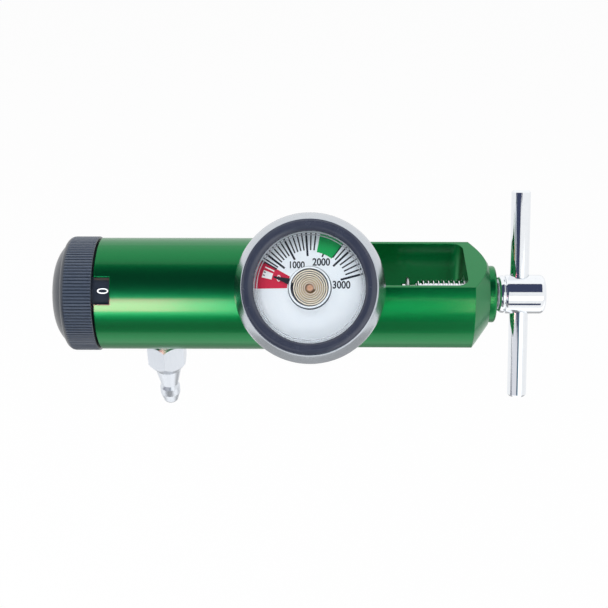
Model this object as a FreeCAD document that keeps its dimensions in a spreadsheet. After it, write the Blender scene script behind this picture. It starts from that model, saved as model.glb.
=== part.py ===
"""Oxygen cylinder regulator: green barrel with a yoke, a contents gauge and a click dial for the flow.

Millimetres.  The origin is the middle of the seat face inside the yoke, where the cylinder valve's
post is clamped.  +X runs along the barrel from the seat to the T-handle, +Z is up when the cylinder
stands upright, and the gauge looks out of the front, which is -Y, tipped upwards.
"""
import FreeCAD, Part
import math
import os

import Sketcher

SIZES = [
    ("barrel_radius", 17.5, "outside radius of barrel and yoke"),
    ("barrel_length", 74.0, "seat face to the open end of the barrel"),
    ("edge_break", 0.3, "chamfer that breaks an outside edge"),
    ("flat_height", 11.0, "axis to each flat of the yoke"),
    ("window_length", 39.5, "seat face to the far wall of the yoke window"),
    ("window_width", 24.8, "clear width between the yoke's two rails"),
    ("window_corner", 3.5, "corner radius of the window's far wall"),
    ("end_wall", 1.9, "window's far wall to the start of the cone"),
    ("cone_length", 5.3, "length of the cone behind the T-handle"),
    ("cone_radius", 10.0, "radius of the cone's small end"),
    ("neck_length", 2.4, "cone to the neck's end face"),
    ("neck_radius", 8.9, "radius of the neck"),
    ("neck_round", 0.8, "rounding of the neck's rim"),
    ("press_gap", 0.02, "clearance of pressed and screwed seats"),
    ("slide_gap", 0.05, "clearance of shafts and other running fits"),
    ("seat_wall", 23.0, "seat face to the spring chamber"),
    ("passage_radius", 1.5, "high-pressure passage along the axis"),
    ("nipple_seat_radius", 5.0, "port for the inlet nipple"),
    ("nipple_seat_depth", 5.0, "depth of that port"),
    ("nozzle_seat_start", 11.0, "seat face to the nozzle's inner end"),
    ("nozzle_seat_radius", 2.5, "port for the nozzle"),
    ("stem_bore_start", 14.0, "seat face to the bottom of the stem bore"),
    ("stem_bore_radius", 4.0, "bore that guides the piston's stem"),
    ("stem_groove_start", 20.2, "seat face to the stem seal's groove"),
    ("stem_groove_width", 1.6, "width of that groove"),
    ("stem_groove_depth", 1.2, "depth of that groove"),
    ("chamber_step", 1.0, "step from the metering bore in to the spring chamber"),
    ("module_step", 1.5, "step from the bore round the skirt in to the metering bore"),
    ("module_length", 19.45, "spring chamber to the retaining ring's groove"),
    ("ring_shoulder", 0.85, "that groove to the bore round the knob's skirt"),
    ("ring_groove_width", 1.2, "width of the retaining ring's groove"),
    ("ring_groove_depth", 1.0, "depth of the retaining ring's groove"),
    ("barrel_wall", 1.5, "wall of the barrel round the numbered skirt of the knob"),
    ("dial_bore_length", 6.5, "depth of the bore round that skirt"),
    ("notch_length", 5.1, "length of the notch that shows one number"),
    ("notch_width", 8.3, "width of that notch"),
    ("vent_inset", 9.0, "start of the spring chamber to its vent hole"),
    ("vent_radius", 0.8, "radius of the vent hole"),
    ("nipple_radius", 3.2, "radius of the inlet nipple"),
    ("nipple_neck_radius", 2.9, "radius of the nipple inside its washer"),
    ("nipple_length", 5.5, "reach of the nipple from the seat face"),
    ("nipple_bore", 1.3, "bore of the nipple"),
    ("nipple_chamfer", 0.5, "chamfer of the nipple's tip"),
    ("filter_radius", 2.6, "radius of the inlet filter"),
    ("filter_length", 2.0, "length of the inlet filter"),
    ("washer_thickness", 2.4, "thickness of the yoke washer"),
    ("washer_radius", 7.0, "outside radius of the yoke washer"),
    ("washer_split", 4.9, "radius where its metal ring meets its rubber"),
    ("pin_radius", 2.0, "radius of the index pins"),
    ("pin_circle", 14.3, "radius on which the index pins stand"),
    ("pin_spread", 18.0, "angle of each index pin from straight down"),
    ("pin_reach", 6.0, "reach of the index pins from the seat face"),
    ("pin_depth", 7.0, "depth of the index pins in the body"),
    ("pin_shank", 0.35, "how much thicker the pins are inside the body"),
    ("pin_chamfer", 0.6, "chamfer of the pins' ends"),
    ("nozzle_crown", 1.5, "radius of the nozzle's crown"),
    ("nozzle_height", 1.0, "height of the nozzle's crown"),
    ("nozzle_bore", 0.6, "bore of the nozzle"),
    ("piston_travel", 0.6, "way of the piston from open to shut"),
    ("piston_head", 6.0, "thickness of the piston's head"),
    ("piston_gap", 0.1, "clearance of the piston's head in its bore"),
    ("piston_bore", 1.2, "gas bore through the piston"),
    ("piston_dish_radius", 10.5, "radius of the dish in the piston's head"),
    ("piston_dish_depth", 1.2, "depth of that dish"),
    ("piston_groove_start", 2.0, "head's spring side to its seal groove"),
    ("seal_groove_width", 2.0, "width of the large seals' grooves"),
    ("seal_groove_depth", 1.6, "depth of the large seals' grooves"),
    ("stem_tip_radius", 3.4, "thinner tip of the piston's stem"),
    ("stem_tip_length", 4.0, "length of that tip"),
    ("soft_seat_radius", 2.3, "radius of the soft seat in the stem"),
    ("soft_seat_length", 1.5, "length of the soft seat"),
    ("soft_seat_proud", 0.2, "how far the soft seat stands out"),
    ("cross_hole_radius", 0.6, "gas holes across the stem's tip"),
    ("cross_hole_inset", 2.0, "stem's tip to the end of the gas bore"),
    ("spring_wire", 1.1, "radius of the main spring's wire"),
    ("spring_radius", 8.5, "mean radius of the main spring"),
    ("spring_pitch", 3.5125, "pitch of the main spring"),
    ("carrier_length", 8.0, "thickness of the metering carrier"),
    ("carrier_dish_radius", 11.0, "radius of the dish in the carrier"),
    ("carrier_dish_depth", 1.5, "depth of that dish"),
    ("journal_depth", 3.8, "depth of the spindle's bearing in the carrier"),
    ("journal_play", 0.2, "end of the spindle to the bottom of that bearing"),
    ("port_circle", 8.5, "radius on which the metering holes lie"),
    ("port_radius", 1.0, "feed hole in the carrier"),
    ("port_seal_radius", 1.9, "outside radius of the feed hole's seal"),
    ("port_seal_depth", 1.0, "depth of the feed hole's seal"),
    ("disc_thickness", 2.0, "thickness of the orifice disc"),
    ("disc_gap", 1.1, "orifice disc to the spacer rim round it"),
    ("orifice_full", 0.5, "metering hole of the largest flow"),
    ("plate_length", 5.3, "thickness of the bearing plate"),
    ("plate_rim", 1.85, "wall of the plate's spacer rim"),
    ("outlet_hole", 2.6, "hole through that rim at the outlet"),
    ("plate_groove_start", 1.6, "plate's outer face to its seal groove"),
    ("spindle_radius", 3.0, "radius of the selector spindle"),
    ("spindle_groove_start", 1.5, "plate's inner face to the spindle's seal"),
    ("spindle_groove_width", 1.7, "width of the spindle seal's groove"),
    ("spindle_groove_depth", 1.3, "depth of the spindle seal's groove"),
    ("flange_gap", 1.6, "bearing plate to the detent flange"),
    ("flange_thickness", 2.0, "thickness of the detent flange"),
    ("flange_radius", 10.5, "radius of the detent flange"),
    ("detent_circle", 8.0, "radius on which the detents lie"),
    ("ball_radius", 1.6, "radius of the detent ball"),
    ("ball_sink", 0.8, "how deep the ball sits in a detent"),
    ("ball_bore_depth", 4.4, "depth of the ball's bore in the plate"),
    ("detent_wire", 0.2, "radius of the detent spring's wire"),
    ("detent_pitch", 0.775, "pitch of the detent spring"),
    ("ring_thickness", 1.0, "thickness of the retaining ring"),
    ("ring_width", 2.45, "width of the retaining ring"),
    ("ring_opening", 7.0, "gap in the retaining ring"),
    ("hub_radius", 4.0, "radius of the spindle in the knob"),
    ("spindle_tail", 13.4, "length of the spindle in the knob"),
    ("hub_wall", 2.5, "wall of the knob's hub"),
    ("knob_gap", 0.45, "gap between the barrel and the knob"),
    ("knob_rise", 0.4, "how far the knob's ribs stand out past the barrel"),
    ("knob_length", 13.75, "length of the knob outside the barrel"),
    ("knob_face_radius", 6.0, "flat middle of the knob's end"),
    ("knob_dome", 12.0, "radius of the knob's dome in section"),
    ("knob_dome_length", 3.8, "length of the dome"),
    ("knob_shoulder", 2.2, "fall of the shoulder from the ribs to the dome"),
    ("knob_shoulder_length", 2.4, "length of the rounded shoulder"),
    ("knob_floor", 3.6, "knob's end to the floor of its hollow"),
    ("knob_floor_radius", 11.0, "radius of that floor"),
    ("skirt_gap", 0.3, "clearance of the numbered skirt in the barrel"),
    ("skirt_wall", 1.4, "wall of the numbered skirt"),
    ("skirt_length", 5.7, "reach of the skirt into the barrel"),
    ("rib_depth", 0.3, "depth of the grooves between the grip ribs"),
    ("rib_width", 0.62, "width of those grooves"),
    ("cap_radius", 4.5, "radius of the cap in the knob's end"),
    ("cap_thickness", 1.7, "thickness of that cap"),
    ("cap_rise", 0.2, "how far the cap stands out"),
    ("knob_web", 2.4, "web under the screw's head"),
    ("screw_radius", 1.5, "radius of the knob's screw"),
    ("screw_head_radius", 2.8, "radius of that screw's head"),
    ("screw_head", 1.6, "height of that screw's head"),
    ("screw_reach", 8.9, "length of that screw under its head"),
    ("screw_clearance", 0.15, "clearance of that screw in the knob"),
    ("gauge_offset", 8.0, "seat face to the gauge's axis"),
    ("gauge_elevation", 35.0, "upward tip of the gauge from level"),
    ("gauge_spot_radius", 8.0, "spot face under the gauge"),
    ("gauge_spot_depth", 0.6, "depth of that spot face"),
    ("gauge_thread_radius", 4.8, "thread of the gauge's socket"),
    ("gauge_port_depth", 9.4, "spot face to the bottom of that thread"),
    ("gauge_feed_radius", 1.0, "gas hole from the axis to the gauge"),
    ("gauge_washer_radius", 7.4, "outside radius of the gauge's washer"),
    ("gauge_washer_thickness", 1.0, "thickness of the gauge's washer"),
    ("socket_flats", 12.0, "width across the socket's flats"),
    ("socket_length", 5.5, "length of the socket's hexagon"),
    ("socket_shoulder", 5.0, "radius of the socket behind the case"),
    ("socket_neck_radius", 4.0, "socket's neck in the case"),
    ("socket_neck_rise", 1.0, "reach of that neck into the case"),
    ("socket_post_radius", 3.0, "post behind the dial"),
    ("coil_post_radius", 0.9, "pin that holds the coil's inner end"),
    ("case_gap", 1.0, "socket's hexagon to the case"),
    ("case_radius", 18.4, "outside radius of the gauge's case"),
    ("case_wall", 2.4, "wall of the gauge's case"),
    ("case_depth", 13.76, "back of the case to the back of its rim"),
    ("case_floor", 1.2, "thickness of the case's back"),
    ("case_round", 0.8, "rounding of the case's back edge"),
    ("case_rim_radius", 21.3, "radius of the polished rim"),
    ("case_rim_side", 3.6, "length of the rim's straight side"),
    ("case_rim_bevel", 3.4, "length of the rim's bevel"),
    ("case_rim_inner", 19.12, "inside radius of the rim"),
    ("case_rim_lip", 0.38, "width of the rim's front edge"),
    ("dial_inset", 0.6, "back of the rim to the back of the dial"),
    ("dial_thickness", 0.4, "thickness of the dial"),
    ("dial_ledge", 2.12, "ledge under the window, down to the dial's seat"),
    ("dial_hole", 6.2, "hole in the dial for the coil"),
    ("coil_radius", 5.3, "outside radius of the Bourdon coil"),
    ("coil_inner", 1.1, "inside radius of the Bourdon coil"),
    ("coil_strip", 0.34, "thickness of the coil's flattened tube"),
    ("coil_width", 2.4, "width of the coil's flattened tube"),
    ("pointer_angle", 163.0, "pointer at rest, from +X round the gauge"),
    ("pointer_tip", 10.7, "reach of the pointer"),
    ("pointer_width", 2.0, "width of the pointer's root"),
    ("pointer_point", 0.35, "width of the pointer's tip"),
    ("pointer_thickness", 0.25, "thickness of the pointer"),
    ("pointer_lift", 0.15, "height of the pointer over the dial"),
    ("pointer_foot", 0.6, "thickness of the pointer's foot"),
    ("pointer_foot_width", 1.0, "width of that foot"),
    ("pointer_foot_drop", 1.2, "reach of that foot beside the coil"),
    ("lens_room", 3.7, "back of the dial to the back of the window"),
    ("lens_thickness", 1.2, "thickness of the gauge's window"),
    ("lens_ring_rise", 0.8, "front of the rim to the crest of the black ring"),
    ("lens_ring_wall", 0.92, "wall of the black ring round the window"),
    ("lens_ring_width", 3.46, "width of the black ring"),
    ("lens_ring_crest", 1.72, "outside of the ring to its crest"),
    ("lens_ring_drop", 0.8, "fall of the ring from its crest to its edges"),
    ("lens_ring_round", 2.4, "rounding of the ring's crest"),
    ("outlet_inset", 9.95, "retaining ring's groove to the outlet's axis"),
    ("outlet_spot_radius", 7.6, "spot face under the outlet"),
    ("outlet_spot_depth", 0.5, "depth of that spot face"),
    ("outlet_thread_radius", 3.9, "thread of the outlet"),
    ("outlet_thread_inset", 0.7, "metering bore to the inner end of that thread"),
    ("outlet_washer", 0.76, "thickness of the outlet's washer"),
    ("outlet_washer_radius", 5.5, "outside radius of the outlet's washer"),
    ("outlet_flats", 11.7, "width across the outlet's flats"),
    ("outlet_face_radius", 5.55, "radius of the hexagon's face towards the barrel"),
    ("outlet_hexagon", 11.0, "length of the hexagon with its cone"),
    ("outlet_shoulder_length", 3.4, "length of that cone at the hexagon's corners"),
    ("outlet_shoulder_radius", 4.2, "radius at the foot of that cone"),
    ("outlet_waist_radius", 2.8, "radius behind the barb"),
    ("outlet_waist_length", 6.2, "hexagon's cone to that waist"),
    ("barb_radius", 3.25, "radius of the barb"),
    ("barb_shoulder", 1.2, "waist to the barb's full radius"),
    ("barb_length", 2.4, "length of the barb at its full radius"),
    ("outlet_tip_radius", 2.5, "radius where the tip's rounding starts"),
    ("outlet_tip_rounding", 1.5, "rounding of the outlet's tip"),
    ("outlet_tip_length", 1.2, "length of that rounding"),
    ("barb_taper", 3.5, "length of the barb's taper with its tip"),
    ("outlet_bore", 1.5, "bore of the outlet"),
    ("bush_radius", 6.0, "outside radius of the threaded bush"),
    ("thread_radius", 4.76, "T-screw over its thread"),
    ("thread_gap", 0.08, "clearance of the T-screw in its bush"),
    ("collar_gap", 0.6, "neck to the T-screw's collar at rest"),
    ("collar_length", 2.2, "length of the collar"),
    ("collar_radius", 5.95, "radius of the collar"),
    ("collar_round", 1.5, "rounding of the collar towards the neck"),
    ("collar_groove", 0.35, "width of the groove behind the collar"),
    ("collar_groove_depth", 0.5, "depth of the groove behind the collar"),
    ("head_radius", 6.15, "radius of the T-screw's head"),
    ("head_length", 12.5, "length of the T-screw's head"),
    ("head_round", 1.7, "rounding of the head's end"),
    ("head_edge", 0.4, "rounding of the head's inner edge"),
    ("screw_tip_place", 19.9, "seat face to the T-screw's tip at rest"),
    ("screw_tip_length", 1.2, "length of the T-screw's riveted tip"),
    ("screw_tip_radius", 3.6, "radius of that tip"),
    ("screw_neck_radius", 3.25, "neck that carries the pressure washer"),
    ("screw_neck_length", 3.1, "length of that neck"),
    ("pad_play", 0.3, "end play of the pressure washer"),
    ("pad_thickness", 1.0, "thickness of the pressure washer"),
    ("pad_radius", 5.3, "radius of the pressure washer"),
    ("bar_radius", 3.0, "radius of the T-bar"),
    ("bar_length", 65.0, "length of the T-bar"),
    ("bar_chamfer", 0.6, "chamfer of the T-bar's ends"),
    ("bar_place", 4.6, "head's inner edge to the T-bar's axis"),
    ("bar_turn", 25.0, "T-bar at rest, from upright towards the back"),
]

SETTINGS = [0, 0.5, 1, 1.5, 2, 2.5, 3, 4, 6, 8, 10, 15]  # litres a minute, one click each
GRIP_RIBS = 112
COIL_HALF_TURNS = 13
PAST = 1.0  # how far a cut runs past the surface it opens

doc = FreeCAD.newDocument("OxygenRegulator")
sheet = doc.addObject("Spreadsheet::Sheet", "Sizes")


class Size:
    """A number together with the sheet formula that it comes from."""

    def __init__(self, value, text):
        self.value = value
        self.text = text

    def __add__(self, other):
        other = as_size(other)
        return Size(self.value + other.value, "(%s + %s)" % (self.text, other.text))

    def __sub__(self, other):
        other = as_size(other)
        return Size(self.value - other.value, "(%s - %s)" % (self.text, other.text))

    def __mul__(self, other):
        other = as_size(other)
        return Size(self.value * other.value, "(%s * %s)" % (self.text, other.text))

    def __truediv__(self, other):
        other = as_size(other)
        return Size(self.value / other.value, "(%s / %s)" % (self.text, other.text))

    def __neg__(self):
        return Size(-self.value, "(0 - %s)" % self.text)

    def __radd__(self, other):
        return as_size(other) + self

    def __rsub__(self, other):
        return as_size(other) - self

    def __rmul__(self, other):
        return as_size(other) * self


def as_size(amount):
    if isinstance(amount, Size):
        return amount
    return Size(float(amount), repr(float(amount)))


def sine(angle):
    return Size(math.sin(math.radians(angle.value)), "sin(%s)" % angle.text)


def cosine(angle):
    return Size(math.cos(math.radians(angle.value)), "cos(%s)" % angle.text)


class Sizes:
    """The spreadsheet's rows, read by name."""

    def __init__(self, rows):
        self.rows = {}
        for number, (name, value, note) in enumerate(rows, start=1):
            sheet.set("A%d" % number, name)
            sheet.set("B%d" % number, repr(value))
            sheet.set("C%d" % number, note)
            sheet.setAlias("B%d" % number, name)
            self.rows[name] = Size(value, "Sizes.%s" % name)

    def __getattr__(self, name):
        return self.rows[name]


s = Sizes(SIZES)
doc.recompute()

FULL_TURN = 360.0
ABOUT_X = FreeCAD.Vector(1, 0, 0)
ABOUT_Z = FreeCAD.Vector(0, 0, 1)
pieces = []


def bind(item, name, amount):
    item.setExpression(name, as_size(amount).text)


def new_body(label):
    body = doc.addObject("PartDesign::Body", label)
    body.Label = label
    pieces.append(body)
    return body


def new_sketch(body, name, plane):
    """An empty sketch on one of the body's own planes: XY_Plane, XZ_Plane or YZ_Plane."""
    sketch = body.newObject("Sketcher::SketchObject", "%s_%s" % (body.Name, name))
    support = [item for item in body.Origin.OriginFeatures if item.Role == plane]
    sketch.AttachmentSupport = [(support[0], "")]
    sketch.MapMode = "FlatFace"
    return sketch


def raise_sketch(sketch, level):
    """Lifts a sketch along its own normal."""
    sketch.AttachmentOffset = FreeCAD.Placement(FreeCAD.Vector(0, 0, 0), FreeCAD.Rotation())
    bind(sketch, "AttachmentOffset.Base.z", level)


def outward_sketch(body, name, angle, level):
    """A sketch square to the direction that lies at the angle from +Z about the barrel, at that level."""
    sketch = new_sketch(body, name, "XY_Plane")
    angle = as_size(angle)
    level = as_size(level)
    turn = FreeCAD.Rotation(ABOUT_X, angle.value or FULL_TURN)
    sketch.AttachmentOffset = FreeCAD.Placement(FreeCAD.Vector(0, 0, 0), turn)
    if angle.value:
        bind(sketch, "AttachmentOffset.Rotation.Angle", angle)
    bind(sketch, "AttachmentOffset.Base.y", -(level * sine(angle)))
    bind(sketch, "AttachmentOffset.Base.z", level * cosine(angle))
    return sketch


def fix_point(sketch, geometry, position, x, y):
    for kind, amount in (("DistanceX", as_size(x)), ("DistanceY", as_size(y))):
        constraint = Sketcher.Constraint(kind, -1, 1, geometry, position, amount.value)
        number = sketch.addConstraint(constraint)
        bind(sketch, "Constraints[%d]" % number, amount)


def arc_centre(start, end, radius, side):
    """Centre of an arc from start to end: side 1 puts it left of the way, -1 right of it."""
    across = end - start
    half = across.Length / 2
    height = math.sqrt(max(radius * radius - half * half, 0.0))
    left = FreeCAD.Vector(-across.y, across.x, 0).normalize()
    return (start + end) * 0.5 + left * (height * side)


def draw_outline(sketch, corners):
    """A closed outline.  A corner is (x, y), or (x, y, radius, side) where an arc leads to it.

    A half circle between two corners at the same height has None for its radius.
    """
    places = [FreeCAD.Vector(as_size(c[0]).value, as_size(c[1]).value, 0) for c in corners]
    runs = []
    for number, corner in enumerate(corners):
        start = places[number - 1]
        end = places[number]
        if len(corner) == 2:
            geometry = sketch.addGeometry(Part.LineSegment(start, end), False)
            runs.append((geometry, 1, 2))
            continue
        radius = corner[2] or Size((end - start).Length / 2, "")
        centre = arc_centre(start, end, radius.value, corner[3])
        circle = Part.Circle(centre, FreeCAD.Vector(0, 0, 1), radius.value)
        first = math.atan2(start.y - centre.y, start.x - centre.x)
        last = math.atan2(end.y - centre.y, end.x - centre.x)
        if corner[3] > 0:
            geometry = sketch.addGeometry(Part.ArcOfCircle(circle, first, last), False)
            runs.append((geometry, 1, 2))
        else:
            geometry = sketch.addGeometry(Part.ArcOfCircle(circle, last, first), False)
            runs.append((geometry, 2, 1))
        if corner[2]:
            number = sketch.addConstraint(Sketcher.Constraint("Radius", geometry, radius.value))
            bind(sketch, "Constraints[%d]" % number, radius)
        else:
            sketch.addConstraint(Sketcher.Constraint("DistanceY", -1, 1, geometry, 3, centre.y))
    for number, (geometry, _, end) in enumerate(runs):
        following, start, _ = runs[(number + 1) % len(runs)]
        sketch.addConstraint(Sketcher.Constraint("Coincident", geometry, end, following, start))
        fix_point(sketch, geometry, end, corners[number][0], corners[number][1])


def draw_circle(sketch, x, y, radius):
    radius = as_size(radius)
    centre = FreeCAD.Vector(as_size(x).value, as_size(y).value, 0)
    circle = Part.Circle(centre, FreeCAD.Vector(0, 0, 1), radius.value)
    geometry = sketch.addGeometry(circle, False)
    number = sketch.addConstraint(Sketcher.Constraint("Radius", geometry, radius.value))
    bind(sketch, "Constraints[%d]" % number, radius)
    fix_point(sketch, geometry, 3, x, y)


def turn_profile(body, name, corners, kind="PartDesign::Revolution", axis="H_Axis"):
    """Turns an outline of (along the axis, radius) about X, or of (radius, along) about Z."""
    sketch = new_sketch(body, "%s_profile" % name, "XZ_Plane")
    draw_outline(sketch, corners)
    feature = body.newObject(kind, "%s_%s" % (body.Name, name))
    feature.Profile = sketch
    feature.ReferenceAxis = (sketch, [axis])
    feature.Angle = FULL_TURN
    return feature


def turned(label, corners, axis="H_Axis"):
    body = new_body(label)
    turn_profile(body, "turned", corners, axis=axis)
    return body


def pad(body, name, sketch, length):
    feature = body.newObject("PartDesign::Pad", "%s_%s" % (body.Name, name))
    feature.Profile = sketch
    bind(feature, "Length", length)
    return feature


def pocket(body, name, sketch, depth):
    """Cuts against the sketch's normal."""
    feature = body.newObject("PartDesign::Pocket", "%s_%s" % (body.Name, name))
    feature.Profile = sketch
    bind(feature, "Length", depth)
    return feature


def bore_outward(body, name, angle, x, radius, top, bottom):
    """A round hole square to the barrel's axis, from the level top down to the level bottom."""
    sketch = outward_sketch(body, name + "_circle", angle, top)
    draw_circle(sketch, x, 0, radius)
    return pocket(body, name, sketch, as_size(top) - bottom)


def bore_along(body, name, x, y, z, radius, depth):
    """A round hole along -X, from the level x."""
    sketch = new_sketch(body, name + "_circle", "YZ_Plane")
    raise_sketch(sketch, x)
    draw_circle(sketch, y, z, radius)
    return pocket(body, name, sketch, depth)


def polar(body, name, feature, axis_role, count):
    """Repeats a feature round one of the body's axes and makes the pattern the body's tip."""
    pattern = body.newObject("PartDesign::PolarPattern", "%s_%s" % (body.Name, name))
    pattern.Originals = [feature]
    axis = [item for item in body.Origin.OriginFeatures if item.Role == axis_role]
    pattern.Axis = (axis[0], [""])
    pattern.Angle = FULL_TURN
    pattern.Occurrences = count
    body.Tip = pattern
    return pattern


def hexagon(sketch, flats, first_corner):
    """A hexagon about the sketch's origin, with one corner at the given angle."""
    corner_radius = flats / (2 * math.cos(math.pi / 6))
    corners = []
    for number in range(6):
        angle = math.radians(first_corner + 60 * number)
        corners.append((corner_radius * math.cos(angle), corner_radius * math.sin(angle)))
    draw_outline(sketch, corners)


def stand_on_gauge(body):
    """Puts a piece that is drawn about +Z on the gauge's axis."""
    angle = 90 - s.gauge_elevation
    body.Placement = FreeCAD.Placement(FreeCAD.Vector(0, 0, 0), FreeCAD.Rotation(ABOUT_X, angle.value))
    bind(body, "Placement.Base.x", -s.gauge_offset)
    bind(body, "Placement.Rotation.Angle", angle)


def ring_seal(label, x, ring_radius, section_radius):
    """A round-section seal about the barrel's axis."""
    seal = doc.addObject("Part::Torus", label)
    seal.Label = label
    bind(seal, "Radius1", ring_radius)
    bind(seal, "Radius2", section_radius)
    along_x = FreeCAD.Rotation(FreeCAD.Vector(0, 1, 0), 90)
    seal.Placement = FreeCAD.Placement(FreeCAD.Vector(0, 0, 0), along_x)
    bind(seal, "Placement.Base.x", x)
    pieces.append(seal)
    return seal


# Places along the axis that several pieces share
seat_face = as_size(0)
window_end = s.window_length
cone_start = window_end + s.end_wall
cone_end = cone_start + s.cone_length
neck_end = cone_end + s.neck_length
barrel_end = -s.barrel_length
nozzle_tip = -(s.stem_bore_start + s.nozzle_height)
dial_bore_start = barrel_end + s.dial_bore_length
ring_end = dial_bore_start + s.ring_shoulder
module_end = ring_end + s.ring_groove_width
chamber_end = module_end + s.module_length
chamber_start = -s.seat_wall
stem_groove = -s.stem_groove_start
outlet_place = module_end + s.outlet_inset
gauge_angle = 90 - s.gauge_elevation
DOWN = 180
BACK = -90

# Radii and levels from the barrel's axis that several pieces share
dial_bore = s.barrel_radius - s.barrel_wall
module_bore = dial_bore - s.module_step
chamber_bore = module_bore - s.chamber_step
gauge_spot = s.barrel_radius - s.gauge_spot_depth
gauge_port_floor = gauge_spot - s.gauge_port_depth
outlet_spot = s.barrel_radius - s.outlet_spot_depth
pin_bore = s.pin_radius + s.pin_shank


def make_body():
    """The barrel and yoke, turned, bored and milled from one bar and anodised green."""
    body = turned("regulator_body", [
        (neck_end, s.bush_radius),
        (neck_end, s.neck_radius - s.neck_round),
        (neck_end - s.neck_round, s.neck_radius, s.neck_round, 1),
        (cone_end, s.neck_radius),
        (cone_end, s.cone_radius),
        (cone_start, s.barrel_radius),
        (barrel_end + s.edge_break, s.barrel_radius),
        (barrel_end, s.barrel_radius - s.edge_break),
        (barrel_end, dial_bore),
        (dial_bore_start, dial_bore),
        (dial_bore_start, module_bore),
        (ring_end, module_bore),
        (ring_end, module_bore + s.ring_groove_depth),
        (module_end, module_bore + s.ring_groove_depth),
        (module_end, module_bore),
        (chamber_end, module_bore),
        (chamber_end, chamber_bore),
        (chamber_start, chamber_bore),
        (chamber_start, s.stem_bore_radius),
        (stem_groove - s.stem_groove_width, s.stem_bore_radius),
        (stem_groove - s.stem_groove_width, s.stem_bore_radius + s.stem_groove_depth),
        (stem_groove, s.stem_bore_radius + s.stem_groove_depth),
        (stem_groove, s.stem_bore_radius),
        (-s.stem_bore_start, s.stem_bore_radius),
        (-s.stem_bore_start, s.nozzle_seat_radius),
        (-s.nozzle_seat_start, s.nozzle_seat_radius),
        (-s.nozzle_seat_start, s.passage_radius),
        (-s.nipple_seat_depth, s.passage_radius),
        (-s.nipple_seat_depth, s.nipple_seat_radius),
        (seat_face, s.nipple_seat_radius),
        (seat_face, s.bush_radius),
    ])

    flats = new_sketch(body, "flats_outline", "YZ_Plane")
    raise_sketch(flats, cone_end)
    outside = s.barrel_radius + PAST
    for side in (1, -1):
        draw_outline(flats, [
            (-outside, side * s.flat_height),
            (outside, side * s.flat_height),
            (outside, side * outside),
            (-outside, side * outside),
        ])
    pocket(body, "flats", flats, cone_end)

    window = new_sketch(body, "window_outline", "XY_Plane")
    half = s.window_width / 2
    corner = s.window_corner
    draw_outline(window, [
        (seat_face, -half),
        (window_end - corner, -half),
        (window_end, corner - half, corner, 1),
        (window_end, half - corner),
        (window_end - corner, half, corner, 1),
        (seat_face, half),
    ])
    raise_sketch(window, s.barrel_radius)
    pocket(body, "window", window, s.barrel_radius * 2)

    bore_outward(body, "gauge_spot", gauge_angle, -s.gauge_offset, s.gauge_spot_radius,
                 s.barrel_radius + PAST, gauge_spot)
    bore_outward(body, "gauge_port", gauge_angle, -s.gauge_offset, s.gauge_thread_radius,
                 s.barrel_radius, gauge_port_floor)
    bore_outward(body, "gauge_feed", gauge_angle, -s.gauge_offset, s.gauge_feed_radius,
                 s.barrel_radius, 0)
    bore_outward(body, "outlet_spot", DOWN, outlet_place, s.outlet_spot_radius,
                 s.barrel_radius + PAST, outlet_spot)
    bore_outward(body, "outlet_thread", DOWN, outlet_place, s.outlet_thread_radius,
                 s.barrel_radius, module_bore - PAST)
    bore_outward(body, "vent", BACK, chamber_start - s.vent_inset, s.vent_radius,
                 s.barrel_radius + PAST, chamber_bore - PAST)

    notch = outward_sketch(body, "notch_outline", gauge_angle, s.barrel_radius + PAST)
    half = s.notch_width / 2
    draw_outline(notch, [
        (barrel_end - PAST, -half),
        (barrel_end + s.notch_length, -half),
        (barrel_end + s.notch_length, half),
        (barrel_end - PAST, half),
    ])
    pocket(body, "notch", notch, PAST + s.barrel_wall * 2)

    for side in (1, -1):
        name = "pin_hole_%s" % ("left" if side < 0 else "right")
        bore_along(body, name, seat_face, side * s.pin_circle * sine(s.pin_spread),
                   -(s.pin_circle * cosine(s.pin_spread)), pin_bore, s.pin_depth)


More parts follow.
